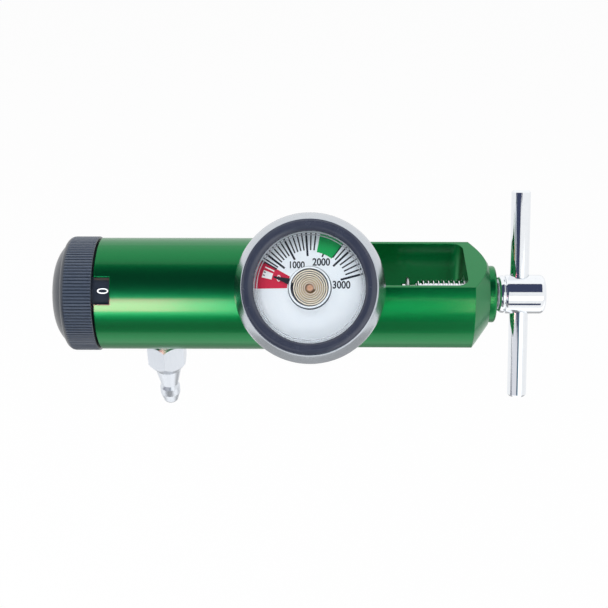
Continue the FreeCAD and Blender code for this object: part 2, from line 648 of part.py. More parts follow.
def make_inlet():
    """The brass nipple that enters the valve's port, its filter, its washer and the index pins."""
    port = s.nipple_seat_radius - s.press_gap
    port_end = s.press_gap - s.nipple_seat_depth
    lip = s.washer_thickness + s.edge_break
    turned("inlet_nipple", [
        (port_end, s.filter_radius),
        (port_end, port),
        (seat_face, port),
        (seat_face, s.nipple_neck_radius),
        (lip, s.nipple_neck_radius),
        (lip, s.nipple_radius),
        (s.nipple_length - s.nipple_chamfer, s.nipple_radius),
        (s.nipple_length, s.nipple_radius - s.nipple_chamfer),
        (s.nipple_length, s.nipple_bore),
        (port_end + s.filter_length, s.nipple_bore),
        (port_end + s.filter_length, s.filter_radius),
    ])
    turned("inlet_filter", [
        (port_end, 0),
        (port_end, s.filter_radius - s.press_gap),
        (port_end + s.filter_length - s.press_gap, s.filter_radius - s.press_gap),
        (port_end + s.filter_length - s.press_gap, 0),
    ])
    back = seat_face + s.press_gap
    front = back + s.washer_thickness
    turned("yoke_washer_ring", [
        (back, s.washer_split),
        (back, s.washer_radius - s.edge_break),
        (back + s.edge_break, s.washer_radius),
        (front - s.edge_break, s.washer_radius),
        (front, s.washer_radius - s.edge_break),
        (front, s.washer_split),
    ])
    turned("yoke_washer_seal", [
        (back, s.nipple_neck_radius + s.slide_gap),
        (back, s.washer_split - s.press_gap),
        (front + s.edge_break / 2, s.washer_split - s.press_gap - s.edge_break / 2),
        (front + s.edge_break / 2, s.nipple_neck_radius + s.slide_gap),
    ])
    pins = new_body("index_pins")
    pins.AllowCompound = True
    for side in (1, -1):
        name = "pin_%s" % ("left" if side < 0 else "right")
        y = side * s.pin_circle * sine(s.pin_spread)
        z = -(s.pin_circle * cosine(s.pin_spread))
        shank = new_sketch(pins, name + "_shank_circle", "YZ_Plane")
        raise_sketch(shank, s.press_gap - s.pin_depth)
        draw_circle(shank, y, z, pin_bore - s.press_gap)
        pad(pins, name + "_shank", shank, s.pin_depth - s.press_gap)
        free = new_sketch(pins, name + "_circle", "YZ_Plane")
        raise_sketch(free, seat_face)
        draw_circle(free, y, z, s.pin_radius)
        pad(pins, name, free, s.pin_reach)
    doc.recompute()
    chamfer_ends(pins, s.pin_reach, s.pin_chamfer)


def chamfer_ends(body, level, width):
    """Chamfers the round edges that lie in the plane at that level of X."""
    base = body.Tip
    names = []
    for number, edge in enumerate(base.Shape.Edges, start=1):
        box = edge.BoundBox
        if abs(box.XMin - level.value) < 1e-6 and abs(box.XMax - level.value) < 1e-6:
            names.append("Edge%d" % number)
    chamfer = body.newObject("PartDesign::Chamfer", "%s_chamfer" % body.Name)
    chamfer.Base = (base, names)
    bind(chamfer, "Size", width)
    body.Tip = chamfer


def make_pressure_stage():
    """Nozzle, piston, seals and spring, which bring the cylinder's pressure down."""
    turned("seat_nozzle", [
        (-s.nozzle_seat_start - s.press_gap, s.nozzle_bore),
        (-s.nozzle_seat_start - s.press_gap, s.nozzle_seat_radius - s.press_gap),
        (-s.stem_bore_start, s.nozzle_seat_radius - s.press_gap),
        (-s.stem_bore_start, s.nozzle_crown),
        (nozzle_tip, s.nozzle_crown - s.edge_break),
        (nozzle_tip, s.nozzle_bore),
    ])
    seat_front = nozzle_tip - s.piston_travel - s.slide_gap
    seat_back = seat_front - s.soft_seat_length
    tip = seat_front - s.soft_seat_proud
    tip_end = tip - s.stem_tip_length
    stem = s.stem_bore_radius - s.slide_gap
    head_back = chamber_end + s.slide_gap
    head_front = head_back + s.piston_head
    head = chamber_bore - s.piston_gap
    groove = head_front - s.piston_groove_start
    dish = head_back + s.piston_dish_depth
    bore_end = tip - s.cross_hole_inset
    groove_floor = chamber_bore - s.seal_groove_depth
    piston = turned("piston", [
        (seat_back, 0),
        (seat_back, s.soft_seat_radius + s.press_gap),
        (tip, s.soft_seat_radius + s.press_gap),
        (tip, s.stem_tip_radius),
        (tip_end, s.stem_tip_radius),
        (tip_end, stem),
        (head_front, stem),
        (head_front, head),
        (groove, head),
        (groove, groove_floor),
        (groove - s.seal_groove_width, groove_floor),
        (groove - s.seal_groove_width, head),
        (head_back, head),
        (head_back, s.piston_dish_radius),
        (dish, s.piston_dish_radius),
        (dish, s.piston_bore),
        (bore_end, s.piston_bore),
        (bore_end, 0),
    ])
    hole_place = bore_end - s.cross_hole_radius - s.slide_gap
    bore_outward(piston, "gas_hole", 0, hole_place, s.cross_hole_radius,
                 s.stem_bore_radius, -s.stem_bore_radius)
    turned("piston_seat", [
        (seat_back + s.press_gap, 0),
        (seat_back + s.press_gap, s.soft_seat_radius),
        (seat_front, s.soft_seat_radius),
        (seat_front, 0),
    ])
    section = s.seal_groove_depth / 2 - s.press_gap
    ring_seal("piston_seal", groove - s.seal_groove_width / 2,
              chamber_bore - s.seal_groove_depth / 2, section)
    section = (s.stem_groove_depth + s.slide_gap) / 2 - s.press_gap
    ring_seal("stem_seal", stem_groove - s.stem_groove_width / 2,
              s.stem_bore_radius + (s.stem_groove_depth - s.slide_gap) / 2, section)
    spring_room = chamber_start - head_front - s.piston_travel - s.slide_gap * 2
    make_spring("piston_spring", chamber_start - s.slide_gap, spring_room, s.spring_radius,
                s.spring_wire, s.spring_pitch, 0, 0)


def make_spring(label, start, room, radius, wire, pitch, y, z):
    """A wire coil that runs from the level start towards -X and fills the room given."""
    spring = new_body(label)
    sketch = new_sketch(spring, "wire", "XZ_Plane")
    draw_circle(sketch, start - wire, radius, wire)
    helix = spring.newObject("PartDesign::AdditiveHelix", label + "_helix")
    helix.Profile = sketch
    helix.ReferenceAxis = (sketch, ["H_Axis"])
    helix.Mode = "height-turns-angle"
    helix.Reversed = True
    bind(helix, "Height", room - wire * 2)
    bind(helix, "Turns", (room - wire * 2) / pitch)
    bind(spring, "Placement.Base.y", y)
    bind(spring, "Placement.Base.z", z)
    return spring


def make_metering():
    """Carrier, orifice disc, spindle and bearing plate, held in the barrel by a retaining ring."""
    outside = module_bore - s.slide_gap
    floor = module_bore - s.seal_groove_depth
    carrier_front = chamber_end - s.press_gap
    carrier_back = carrier_front - s.carrier_length
    groove = carrier_front - (s.carrier_length - s.seal_groove_width) / 2
    bearing = s.spindle_radius + s.slide_gap
    carrier = turned("metering_carrier", [
        (carrier_front, outside),
        (groove, outside),
        (groove, floor),
        (groove - s.seal_groove_width, floor),
        (groove - s.seal_groove_width, outside),
        (carrier_back, outside),
        (carrier_back, bearing),
        (carrier_back + s.journal_depth, bearing),
        (carrier_back + s.journal_depth, 0),
        (carrier_front - s.carrier_dish_depth, 0),
        (carrier_front - s.carrier_dish_depth, s.carrier_dish_radius),
        (carrier_front, s.carrier_dish_radius),
    ])
    bore_along(carrier, "feed_hole", carrier_front, 0, s.port_circle, s.port_radius, s.carrier_length)
    bore_along(carrier, "seal_pocket", carrier_back + s.port_seal_depth, 0, s.port_circle,
               s.port_seal_radius, s.port_seal_depth)
    section = s.seal_groove_depth / 2 - s.press_gap
    middle = module_bore - s.seal_groove_depth / 2
    ring_seal("carrier_seal", groove - s.seal_groove_width / 2, middle, section)

    seal = new_body("port_seal")
    sketch = new_sketch(seal, "rings", "YZ_Plane")
    raise_sketch(sketch, carrier_back)
    draw_circle(sketch, 0, s.port_circle, s.port_seal_radius - s.press_gap)
    draw_circle(sketch, 0, s.port_circle, s.port_radius)
    pad(seal, "ring", sketch, s.port_seal_depth - s.press_gap)

    disc_front = carrier_back - s.slide_gap
    disc_back = disc_front - s.disc_thickness
    rim = outside - s.plate_rim
    disc = turned("orifice_disc", [
        (disc_front, s.spindle_radius + s.press_gap),
        (disc_front, rim - s.disc_gap),
        (disc_back, rim - s.disc_gap),
        (disc_back, s.spindle_radius + s.press_gap),
    ])
    sketch = new_sketch(disc, "orifices_outline", "YZ_Plane")
    raise_sketch(sketch, disc_front)
    largest = max(SETTINGS)
    step = FULL_TURN / len(SETTINGS)
    for number, flow in enumerate(SETTINGS):
        if flow == 0:
            continue
        angle = math.radians(90 - number * step)
        radius = s.orifice_full * math.sqrt(flow / largest)
        draw_circle(sketch, s.port_circle * math.cos(angle), s.port_circle * math.sin(angle), radius)
    pocket(disc, "orifices", sketch, s.disc_thickness)

    plate_back = module_end + s.press_gap
    plate_front = plate_back + s.plate_length
    groove = plate_back + s.plate_groove_start
    inner_groove = plate_front - s.spindle_groove_start
    plate = turned("bearing_plate", [
        (carrier_back - s.press_gap, rim),
        (carrier_back - s.press_gap, outside),
        (groove + s.seal_groove_width, outside),
        (groove + s.seal_groove_width, floor),
        (groove, floor),
        (groove, outside),
        (plate_back, outside),
        (plate_back, bearing),
        (inner_groove - s.spindle_groove_width, bearing),
        (inner_groove - s.spindle_groove_width, bearing + s.spindle_groove_depth),
        (inner_groove, bearing + s.spindle_groove_depth),
        (inner_groove, bearing),
        (plate_front, bearing),
        (plate_front, rim),
    ])
    bore_outward(plate, "outlet_hole", DOWN, outlet_place, s.outlet_hole,
                 module_bore + PAST, rim - PAST)
    ball_bore = s.ball_radius + s.slide_gap
    bore_along(plate, "ball_bore", plate_back + s.ball_bore_depth, 0, s.detent_circle, ball_bore,
               s.ball_bore_depth)
    ring_seal("plate_seal", groove + s.seal_groove_width / 2, middle, section)
    inner_section = (s.spindle_groove_depth + s.slide_gap) / 2 - s.press_gap
    ring_seal("spindle_seal", inner_groove - s.spindle_groove_width / 2,
              s.spindle_radius + (s.spindle_groove_depth + s.slide_gap) / 2, inner_section)

    flange_front = plate_back - s.flange_gap
    flange_back = flange_front - s.flange_thickness
    tail_end = flange_back - s.spindle_tail
    tapped = s.screw_radius + s.press_gap
    spindle_tip = carrier_back + s.journal_depth - s.journal_play
    screw_end = tail_end - s.slide_gap - s.knob_web + s.screw_reach
    spindle = turned("selector_spindle", [
        (spindle_tip, 0),
        (spindle_tip, s.spindle_radius),
        (flange_front, s.spindle_radius),
        (flange_front, s.flange_radius),
        (flange_back, s.flange_radius),
        (flange_back, s.hub_radius),
        (tail_end, s.hub_radius),
        (tail_end, tapped),
        (screw_end + s.screw_radius, tapped),
        (screw_end + s.screw_radius, 0),
    ])
    ball_centre = flange_front - s.ball_sink + s.ball_radius
    cup = s.ball_radius + s.slide_gap
    detent = spindle.newObject("PartDesign::SubtractiveSphere", "detent_cup")
    bind(detent, "Radius", cup)
    bind(detent, "Placement.Base.x", ball_centre)
    bind(detent, "Placement.Base.z", s.detent_circle)
    doc.recompute()
    polar(spindle, "detents", detent, "X_Axis", len(SETTINGS))

    ball = doc.addObject("Part::Sphere", "detent_ball")
    ball.Label = "detent_ball"
    bind(ball, "Radius", s.ball_radius)
    bind(ball, "Placement.Base.x", ball_centre)
    bind(ball, "Placement.Base.z", s.detent_circle)
    pieces.append(ball)
    bore_end = plate_back + s.ball_bore_depth
    spring_room = bore_end - ball_centre - s.ball_radius - s.slide_gap * 2
    make_spring("detent_spring", bore_end - s.slide_gap, spring_room,
                s.ball_radius - s.detent_wire * 2, s.detent_wire, s.detent_pitch, 0, s.detent_circle)

    ring_front = module_end - (s.ring_groove_width - s.ring_thickness) / 2
    ring_outer = module_bore + s.ring_groove_depth - s.slide_gap
    ring_inner = ring_outer - s.ring_width
    ring = turned("retaining_ring", [
        (ring_front, ring_inner),
        (ring_front, ring_outer),
        (ring_front - s.ring_thickness, ring_outer),
        (ring_front - s.ring_thickness, ring_inner),
    ])
    sketch = new_sketch(ring, "opening_outline", "YZ_Plane")
    raise_sketch(sketch, ring_front)
    half = s.ring_opening / 2
    draw_outline(sketch, [
        (-half, 0),
        (half, 0),
        (half, ring_outer + PAST),
        (-half, ring_outer + PAST),
    ])
    pocket(ring, "opening", sketch, s.ring_thickness)
    return tail_end, flange_back


def make_knob(tail_end, flange_back):
    """The black plastic flow knob with its numbered skirt, its screw and its cap."""
    back = barrel_end - s.knob_gap
    face = back - s.knob_length
    dome_end = face + s.knob_dome_length
    shoulder_end = dome_end + s.knob_shoulder_length
    outer = s.barrel_radius + s.knob_rise
    fall = s.knob_shoulder
    shoulder = (s.knob_shoulder_length * s.knob_shoulder_length + fall * fall) / (fall * 2)
    skirt_end = back + s.skirt_length
    skirt = dial_bore - s.skirt_gap
    skirt_inner = skirt - s.skirt_wall
    hub_end = flange_back - s.slide_gap
    hub_bore = s.hub_radius + s.slide_gap
    hub = hub_bore + s.hub_wall
    bore_end = tail_end - s.slide_gap
    head_seat = bore_end - s.knob_web
    recess = s.cap_radius + s.press_gap
    hole = s.screw_radius + s.screw_clearance
    knob = turned("flow_knob", [
        (face, recess),
        (face, s.knob_face_radius),
        (dome_end, outer - fall, s.knob_dome, -1),
        (shoulder_end, outer, shoulder, -1),
        (back - s.edge_break, outer),
        (back, outer - s.edge_break),
        (back, skirt),
        (skirt_end, skirt),
        (skirt_end, skirt_inner),
        (dome_end + s.edge_break, skirt_inner),
        (face + s.knob_floor, s.knob_floor_radius),
        (face + s.knob_floor, hub),
        (hub_end, hub),
        (hub_end, hub_bore),
        (bore_end, hub_bore),
        (bore_end, hole),
        (head_seat, hole),
        (head_seat, recess),
    ])
    groove = new_sketch(knob, "rib_outline", "YZ_Plane")
    raise_sketch(groove, back)
    draw_outline(groove, [
        (0, outer - s.rib_depth),
        (s.rib_width / 2, outer),
        (s.rib_width / 2, outer + PAST),
        (-(s.rib_width / 2), outer + PAST),
        (-(s.rib_width / 2), outer),
    ])
    rib = pocket(knob, "rib_groove", groove, s.knob_length - s.knob_dome_length)
    doc.recompute()
    polar(knob, "ribs", rib, "X_Axis", GRIP_RIBS)

    head_top = head_seat - s.screw_head
    turned("knob_screw", [
        (head_top, 0),
        (head_top, s.screw_head_radius - s.edge_break),
        (head_top + s.edge_break, s.screw_head_radius),
        (head_seat, s.screw_head_radius),
        (head_seat, s.screw_radius),
        (head_seat + s.screw_reach, s.screw_radius),
        (head_seat + s.screw_reach, 0),
    ])
    cap_top = face - s.cap_rise
    turned("knob_cap", [
        (cap_top, 0),
        (cap_top, s.cap_radius - s.edge_break),
        (cap_top + s.edge_break, s.cap_radius),
        (cap_top + s.cap_thickness, s.cap_radius),
        (cap_top + s.cap_thickness, 0),
    ])


def make_outlet():
    """The chromed hose nipple and its washer.  Both are drawn about +Z and hang below the barrel."""
    thread = s.outlet_thread_radius - s.press_gap
    thread_end = module_bore + s.outlet_thread_inset
    seat = outlet_spot + s.press_gap
    hex_start = seat + s.outlet_washer + s.press_gap
    hex_end = hex_start + s.outlet_hexagon
    waist = hex_end + s.outlet_waist_length
    barb = waist + s.barb_shoulder
    taper = barb + s.barb_length
    end = taper + s.barb_taper
    corner = s.outlet_flats / (2 * math.cos(math.pi / 6))
    nipple = turned("outlet_barb", [
        (s.outlet_bore, thread_end),
        (thread, thread_end),
        (thread, hex_start + s.edge_break),
        (s.outlet_shoulder_radius, hex_start + s.edge_break),
        (s.outlet_shoulder_radius, hex_end),
        (s.outlet_waist_radius, waist),
        (s.barb_radius, barb),
        (s.barb_radius, taper),
        (s.outlet_tip_radius, end - s.outlet_tip_length),
        (s.outlet_bore + s.edge_break, end, s.outlet_tip_rounding, 1),
        (s.outlet_bore, end),
    ], axis="V_Axis")
    sketch = new_sketch(nipple, "hexagon_outline", "XY_Plane")
    raise_sketch(sketch, hex_start)
    hexagon(sketch, s.outlet_flats, 30)
    draw_circle(sketch, 0, 0, s.outlet_bore)
    pad(nipple, "hexagon", sketch, s.outlet_hexagon)
    reach = corner - s.outlet_face_radius + PAST
    turn_profile(nipple, "near_bevel", [
        (s.outlet_face_radius, hex_start),
        (s.outlet_face_radius, hex_start - PAST),
        (s.outlet_face_radius + reach, hex_start - PAST),
        (s.outlet_face_radius + reach, hex_start + reach),
    ], kind="PartDesign::Groove", axis="V_Axis")
    cone_run = corner - s.outlet_shoulder_radius
    slope = s.outlet_shoulder_length / cone_run
    turn_profile(nipple, "far_cone", [
        (s.outlet_shoulder_radius, hex_end),
        (corner + PAST, hex_end - slope * (cone_run + PAST)),
        (corner + PAST, hex_end + PAST),
        (s.outlet_shoulder_radius, hex_end + PAST),
    ], kind="PartDesign::Groove", axis="V_Axis")
    hang_below(nipple)
    washer = turned("outlet_washer", [
        (s.outlet_thread_radius + s.slide_gap, seat),
        (s.outlet_washer_radius, seat),
        (s.outlet_washer_radius, seat + s.outlet_washer),
        (s.outlet_thread_radius + s.slide_gap, seat + s.outlet_washer),
    ], axis="V_Axis")
    hang_below(washer)


def hang_below(body):
    body.Placement = FreeCAD.Placement(FreeCAD.Vector(0, 0, 0), FreeCAD.Rotation(ABOUT_X, DOWN))
    bind(body, "Placement.Base.x", outlet_place)


def make_gauge():
    """The contents gauge: socket, case, dial, Bourdon coil, pointer, window and black ring."""
    washer_back = gauge_spot + s.press_gap
    washer_top = washer_back + s.gauge_washer_thickness
    ring = turned("gauge_washer", [
        (s.gauge_thread_radius + s.slide_gap, washer_back),
        (s.gauge_washer_radius, washer_back),
        (s.gauge_washer_radius, washer_top),
        (s.gauge_thread_radius + s.slide_gap, washer_top),
    ], axis="V_Axis")
    stand_on_gauge(ring)

    hex_start = washer_top + s.press_gap
    hex_end = hex_start + s.socket_length
    case_back = hex_end + s.case_gap
    case_floor = case_back + s.case_floor
    rim_start = case_back + s.case_depth
    rim_side = rim_start + s.case_rim_side
    rim_top = rim_side + s.case_rim_bevel
    dial_seat = rim_start + s.dial_inset
    lens_seat = dial_seat + s.lens_room
    thread = s.gauge_thread_radius - s.press_gap
    coil_bottom = dial_seat - s.coil_width
    feed_end = case_floor + s.socket_neck_rise
    neck = s.socket_neck_radius
    socket = turned("gauge_socket", [
        (s.gauge_feed_radius, gauge_port_floor + s.slide_gap),
        (thread, gauge_port_floor + s.slide_gap),
        (thread, hex_start),
        (s.socket_shoulder, hex_start),
        (s.socket_shoulder, case_back - s.press_gap),
        (neck, case_back - s.press_gap),
        (neck, feed_end),
        (s.socket_post_radius, feed_end),
        (s.socket_post_radius, coil_bottom - s.slide_gap),
        (s.coil_post_radius, coil_bottom - s.slide_gap),
        (s.coil_post_radius, dial_seat),
        (0, dial_seat),
        (0, feed_end),
        (s.gauge_feed_radius, feed_end),
    ], axis="V_Axis")
    sketch = new_sketch(socket, "hexagon_outline", "XY_Plane")
    raise_sketch(sketch, hex_start)
    hexagon(sketch, s.socket_flats, 0)
    draw_circle(sketch, 0, 0, s.gauge_feed_radius)
    pad(socket, "hexagon", sketch, s.socket_length)
    stand_on_gauge(socket)

    dial_radius = s.case_rim_inner - s.dial_ledge
    case = turned("gauge_case", [
        (neck + s.press_gap, case_back),
        (s.case_radius - s.case_round, case_back),
        (s.case_radius, case_back + s.case_round, s.case_round, 1),
        (s.case_radius, rim_start),
        (s.case_rim_radius - s.edge_break, rim_start),
        (s.case_rim_radius, rim_start + s.edge_break),
        (s.case_rim_radius, rim_side),
        (s.case_rim_inner + s.case_rim_lip, rim_top),
        (s.case_rim_inner, rim_top),
        (s.case_rim_inner, lens_seat),
        (dial_radius, lens_seat),
        (dial_radius, dial_seat),
        (s.case_radius - s.case_wall, dial_seat),
        (s.case_radius - s.case_wall, case_floor),
        (neck + s.press_gap, case_floor),
    ], axis="V_Axis")
    stand_on_gauge(case)

    dial_back = dial_seat + s.press_gap
    dial_front = dial_back + s.dial_thickness
    dial = turned("gauge_dial", [
        (s.dial_hole, dial_back),
        (dial_radius - s.press_gap, dial_back),
        (dial_radius - s.press_gap, dial_front),
        (s.dial_hole, dial_front),
    ], axis="V_Axis")
    stand_on_gauge(dial)

    lens_back = lens_seat + s.press_gap
    lens_front = lens_back + s.lens_thickness
    lens_radius = s.case_rim_inner - s.lens_ring_wall
    lens = turned("gauge_window", [
        (0, lens_back),
        (lens_radius, lens_back),
        (lens_radius, lens_front),
        (0, lens_front),
    ], axis="V_Axis")
    stand_on_gauge(lens)

    outer = s.case_rim_inner - s.press_gap
    crest = rim_top + s.lens_ring_rise
    edge = crest - s.lens_ring_drop
    opening = s.case_rim_inner - s.lens_ring_width
    lens_ring = turned("gauge_window_ring", [
        (lens_radius + s.press_gap, lens_back),
        (outer, lens_back),
        (outer, edge),
        (s.case_rim_inner - s.lens_ring_crest, crest, s.lens_ring_round, 1),
        (opening, edge, s.lens_ring_round, 1),
        (opening, lens_front + s.press_gap),
        (lens_radius + s.press_gap, lens_front + s.press_gap),
    ], axis="V_Axis")
    stand_on_gauge(lens_ring)

    make_coil(coil_bottom)
    make_pointer(dial_seat, dial_front)


def make_coil(bottom):
    """The flattened Bourdon tube, wound flat: fixed at its inner end, the pointer on its outer end."""
    coil = new_body("bourdon_coil")
    sketch = new_sketch(coil, "strip_outline", "XY_Plane")
    turn = FreeCAD.Rotation(ABOUT_Z, s.pointer_angle.value - COIL_HALF_TURNS * 180.0)
    sketch.AttachmentOffset = FreeCAD.Placement(FreeCAD.Vector(0, 0, 0), turn)
    bind(sketch, "AttachmentOffset.Rotation.Angle", s.pointer_angle - COIL_HALF_TURNS % 2 * 180)
    bind(sketch, "AttachmentOffset.Base.z", bottom)
    growth = (s.coil_radius - s.coil_strip - s.coil_inner) / COIL_HALF_TURNS
    corners = []
    for number in range(COIL_HALF_TURNS + 1):
        radius = s.coil_inner + growth * number
        sign = -1 if number % 2 else 1
        corners.append((sign * radius, 0, None, 1) if number else (radius, 0))
    for number in range(COIL_HALF_TURNS, -1, -1):
        radius = s.coil_inner + s.coil_strip + growth * number
        sign = -1 if number % 2 else 1
        corners.append((sign * radius, 0, None, -1) if number < COIL_HALF_TURNS else (sign * radius, 0))
    draw_outline(sketch, corners)
    pad(coil, "strip", sketch, s.coil_width)
    stand_on_gauge(coil)


def make_pointer(dial_seat, dial_front):
    """The black pointer, clipped to the coil's outer end and reaching over the dial."""
    pointer = new_body("gauge_pointer")
    foot_inner = s.coil_radius + s.pointer_lift
    foot_outer = foot_inner + s.pointer_foot
    blade_back = dial_front + s.pointer_lift
    blade = pointer_sketch(pointer, "blade_outline", blade_back)
    draw_outline(blade, [
        (foot_inner, -(s.pointer_width / 2)),
        (s.pointer_tip, -(s.pointer_point / 2)),
        (s.pointer_tip, s.pointer_point / 2),
        (foot_inner, s.pointer_width / 2),
    ])
    pad(pointer, "blade", blade, s.pointer_thickness)
    foot_start = dial_seat - s.pointer_foot_drop
    foot = pointer_sketch(pointer, "foot_outline", foot_start)
    draw_outline(foot, [
        (foot_inner, -(s.pointer_foot_width / 2)),
        (foot_outer, -(s.pointer_foot_width / 2)),
        (foot_outer, s.pointer_foot_width / 2),
        (foot_inner, s.pointer_foot_width / 2),
    ])
    pad(pointer, "foot", foot, blade_back + s.pointer_thickness - foot_start)
    stand_on_gauge(pointer)


def pointer_sketch(body, name, level):
    sketch = new_sketch(body, name, "XY_Plane")
    turn = FreeCAD.Rotation(ABOUT_Z, s.pointer_angle.value)
    sketch.AttachmentOffset = FreeCAD.Placement(FreeCAD.Vector(0, 0, 0), turn)
    bind(sketch, "AttachmentOffset.Rotation.Angle", s.pointer_angle)
    bind(sketch, "AttachmentOffset.Base.z", level)
    return sketch


def make_clamp():
    """The T-screw that clamps the valve post, with its bush, its bar and its pressure washer."""
    bush = s.bush_radius - s.press_gap
    turned("screw_bush", [
        (window_end, s.thread_radius + s.thread_gap),
        (window_end, bush),
        (neck_end - s.edge_break, bush),
        (neck_end - s.edge_break, s.thread_radius + s.thread_gap),
    ])
    tip = s.screw_tip_place
    neck_start = tip + s.screw_tip_length
    thread_start = neck_start + s.screw_neck_length
    collar = neck_end + s.collar_gap
    collar_end = collar + s.collar_length
    head = collar_end + s.collar_groove
    head_end = head + s.head_length
    groove_radius = s.collar_radius - s.collar_groove_depth
    screw = turned("t_screw", [
        (tip, 0),
        (tip, s.screw_tip_radius - s.edge_break),
        (tip + s.edge_break, s.screw_tip_radius),
        (neck_start, s.screw_tip_radius),
        (neck_start, s.screw_neck_radius),
        (thread_start, s.screw_neck_radius),
        (thread_start, s.thread_radius - s.edge_break),
        (thread_start + s.edge_break, s.thread_radius),
        (collar, s.thread_radius),
        (collar + s.collar_round, s.collar_radius, s.collar_round, -1),
        (collar_end, s.collar_radius),
        (collar_end, groove_radius),
        (head, groove_radius),
        (head, s.head_radius - s.head_edge),
        (head + s.head_edge, s.head_radius, s.head_edge, -1),
        (head_end - s.head_round, s.head_radius),
        (head_end, s.head_radius - s.head_round, s.head_round, -1),
        (head_end, 0),
    ])
    bar_place = head + s.bar_place
    bore_outward(screw, "bar_hole", -s.bar_turn, bar_place, s.bar_radius + s.press_gap,
                 s.head_radius + PAST, -(s.head_radius + PAST))

    half = s.bar_length / 2
    bar = turned("t_bar", [
        (0, -half),
        (s.bar_radius - s.bar_chamfer, -half),
        (s.bar_radius, s.bar_chamfer - half),
        (s.bar_radius, half - s.bar_chamfer),
        (s.bar_radius - s.bar_chamfer, half),
        (0, half),
    ], axis="V_Axis")
    bar.Placement = FreeCAD.Placement(FreeCAD.Vector(0, 0, 0), FreeCAD.Rotation(ABOUT_X, -s.bar_turn.value))
    bind(bar, "Placement.Base.x", bar_place)
    bind(bar, "Placement.Rotation.Angle", -s.bar_turn)

    pad_start = neck_start + s.pad_play
    pad_end = pad_start + s.pad_thickness
    hole = s.screw_neck_radius + s.thread_gap
    turned("pressure_washer", [
        (pad_start, hole),
        (pad_start, s.pad_radius - s.edge_break),
        (pad_start + s.edge_break, s.pad_radius),
        (pad_end - s.edge_break, s.pad_radius),
        (pad_end, s.pad_radius - s.edge_break),
        (pad_end, hole),
    ])


make_body()
make_inlet()
make_pressure_stage()
spindle_end, detent_back = make_metering()
make_knob(spindle_end, detent_back)
make_outlet()
make_gauge()
make_clamp()
doc.recompute()

for item in doc.Objects:
    failed = [state for state in item.State if state in ("Invalid", "Error")]
    if failed:
        raise RuntimeError("%s is %s" % (item.Label, ", ".join(failed)))
for piece in pieces:
    if piece.Shape.isNull() or not piece.Shape.isValid() or not piece.Shape.Solids:
        raise RuntimeError("%s has no valid solid" % piece.Label)

os.makedirs("parts", exist_ok=True)
for piece in pieces:
    piece.Shape.exportStep(os.path.join("parts", piece.Label + ".step"))
    print("%-20s %d solid(s) %10.2f mm3" % (piece.Label, len(piece.Shape.Solids), piece.Shape.Volume))
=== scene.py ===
import math

import bpy
from mathutils import Matrix, Vector


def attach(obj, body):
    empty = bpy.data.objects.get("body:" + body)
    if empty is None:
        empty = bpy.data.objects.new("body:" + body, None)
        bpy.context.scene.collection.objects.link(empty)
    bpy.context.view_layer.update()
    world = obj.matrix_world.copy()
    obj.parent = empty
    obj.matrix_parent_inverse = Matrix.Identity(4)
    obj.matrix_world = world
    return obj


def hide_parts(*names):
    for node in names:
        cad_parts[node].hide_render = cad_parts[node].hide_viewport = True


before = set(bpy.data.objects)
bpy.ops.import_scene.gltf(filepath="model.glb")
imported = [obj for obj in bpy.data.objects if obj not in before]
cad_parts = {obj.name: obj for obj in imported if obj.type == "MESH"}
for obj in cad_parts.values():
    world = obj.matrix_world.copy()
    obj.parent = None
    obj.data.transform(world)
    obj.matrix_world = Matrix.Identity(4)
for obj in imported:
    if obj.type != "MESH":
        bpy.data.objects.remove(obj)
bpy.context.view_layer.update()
bpy.ops.object.select_all(action="DESELECT")


# The camera stands about 38 cm off, square to the gauge's face and looking down at 35 degrees,
# where it sees the whole part from the knob to the T-handle.
camera_data = bpy.data.cameras.new("camera")
camera = bpy.data.objects.new("camera", camera_data)
bpy.context.scene.collection.objects.link(camera)
camera_data.lens = 71.165
camera_data.shift_x = -0.01878
camera_data.shift_y = 0.001
camera.location = (-0.00108, -0.31876, 0.20393)
camera.rotation_euler = [math.radians(angle) for angle in (56.874, 0.374, 0.830)]
bpy.context.scene.camera = camera
bpy.context.scene.view_settings.view_transform = "Standard"


# Barrel and yoke: one bar of aluminium, turned, bored and milled, bead blasted, then anodised a
# clear green.  The dyed oxide tints the metal's reflection and has a thin clear gloss of its own.
class Level:
    """One value of a finish: arithmetic on it adds Math nodes."""

    def __init__(self, finish, socket):
        self.finish = finish
        self.socket = socket

    def combine(self, operation, *values):
        return self.finish.node("Math", {"operation": operation}, dict(enumerate(values)))

    def __add__(self, other):
        return self.combine("ADD", self, other)

    def __radd__(self, other):
        return self.combine("ADD", other, self)

    def __sub__(self, other):
        return self.combine("SUBTRACT", self, other)

    def __rsub__(self, other):
        return self.combine("SUBTRACT", other, self)

    def __mul__(self, other):
        return self.combine("MULTIPLY", self, other)

    def __rmul__(self, other):
        return self.combine("MULTIPLY", other, self)


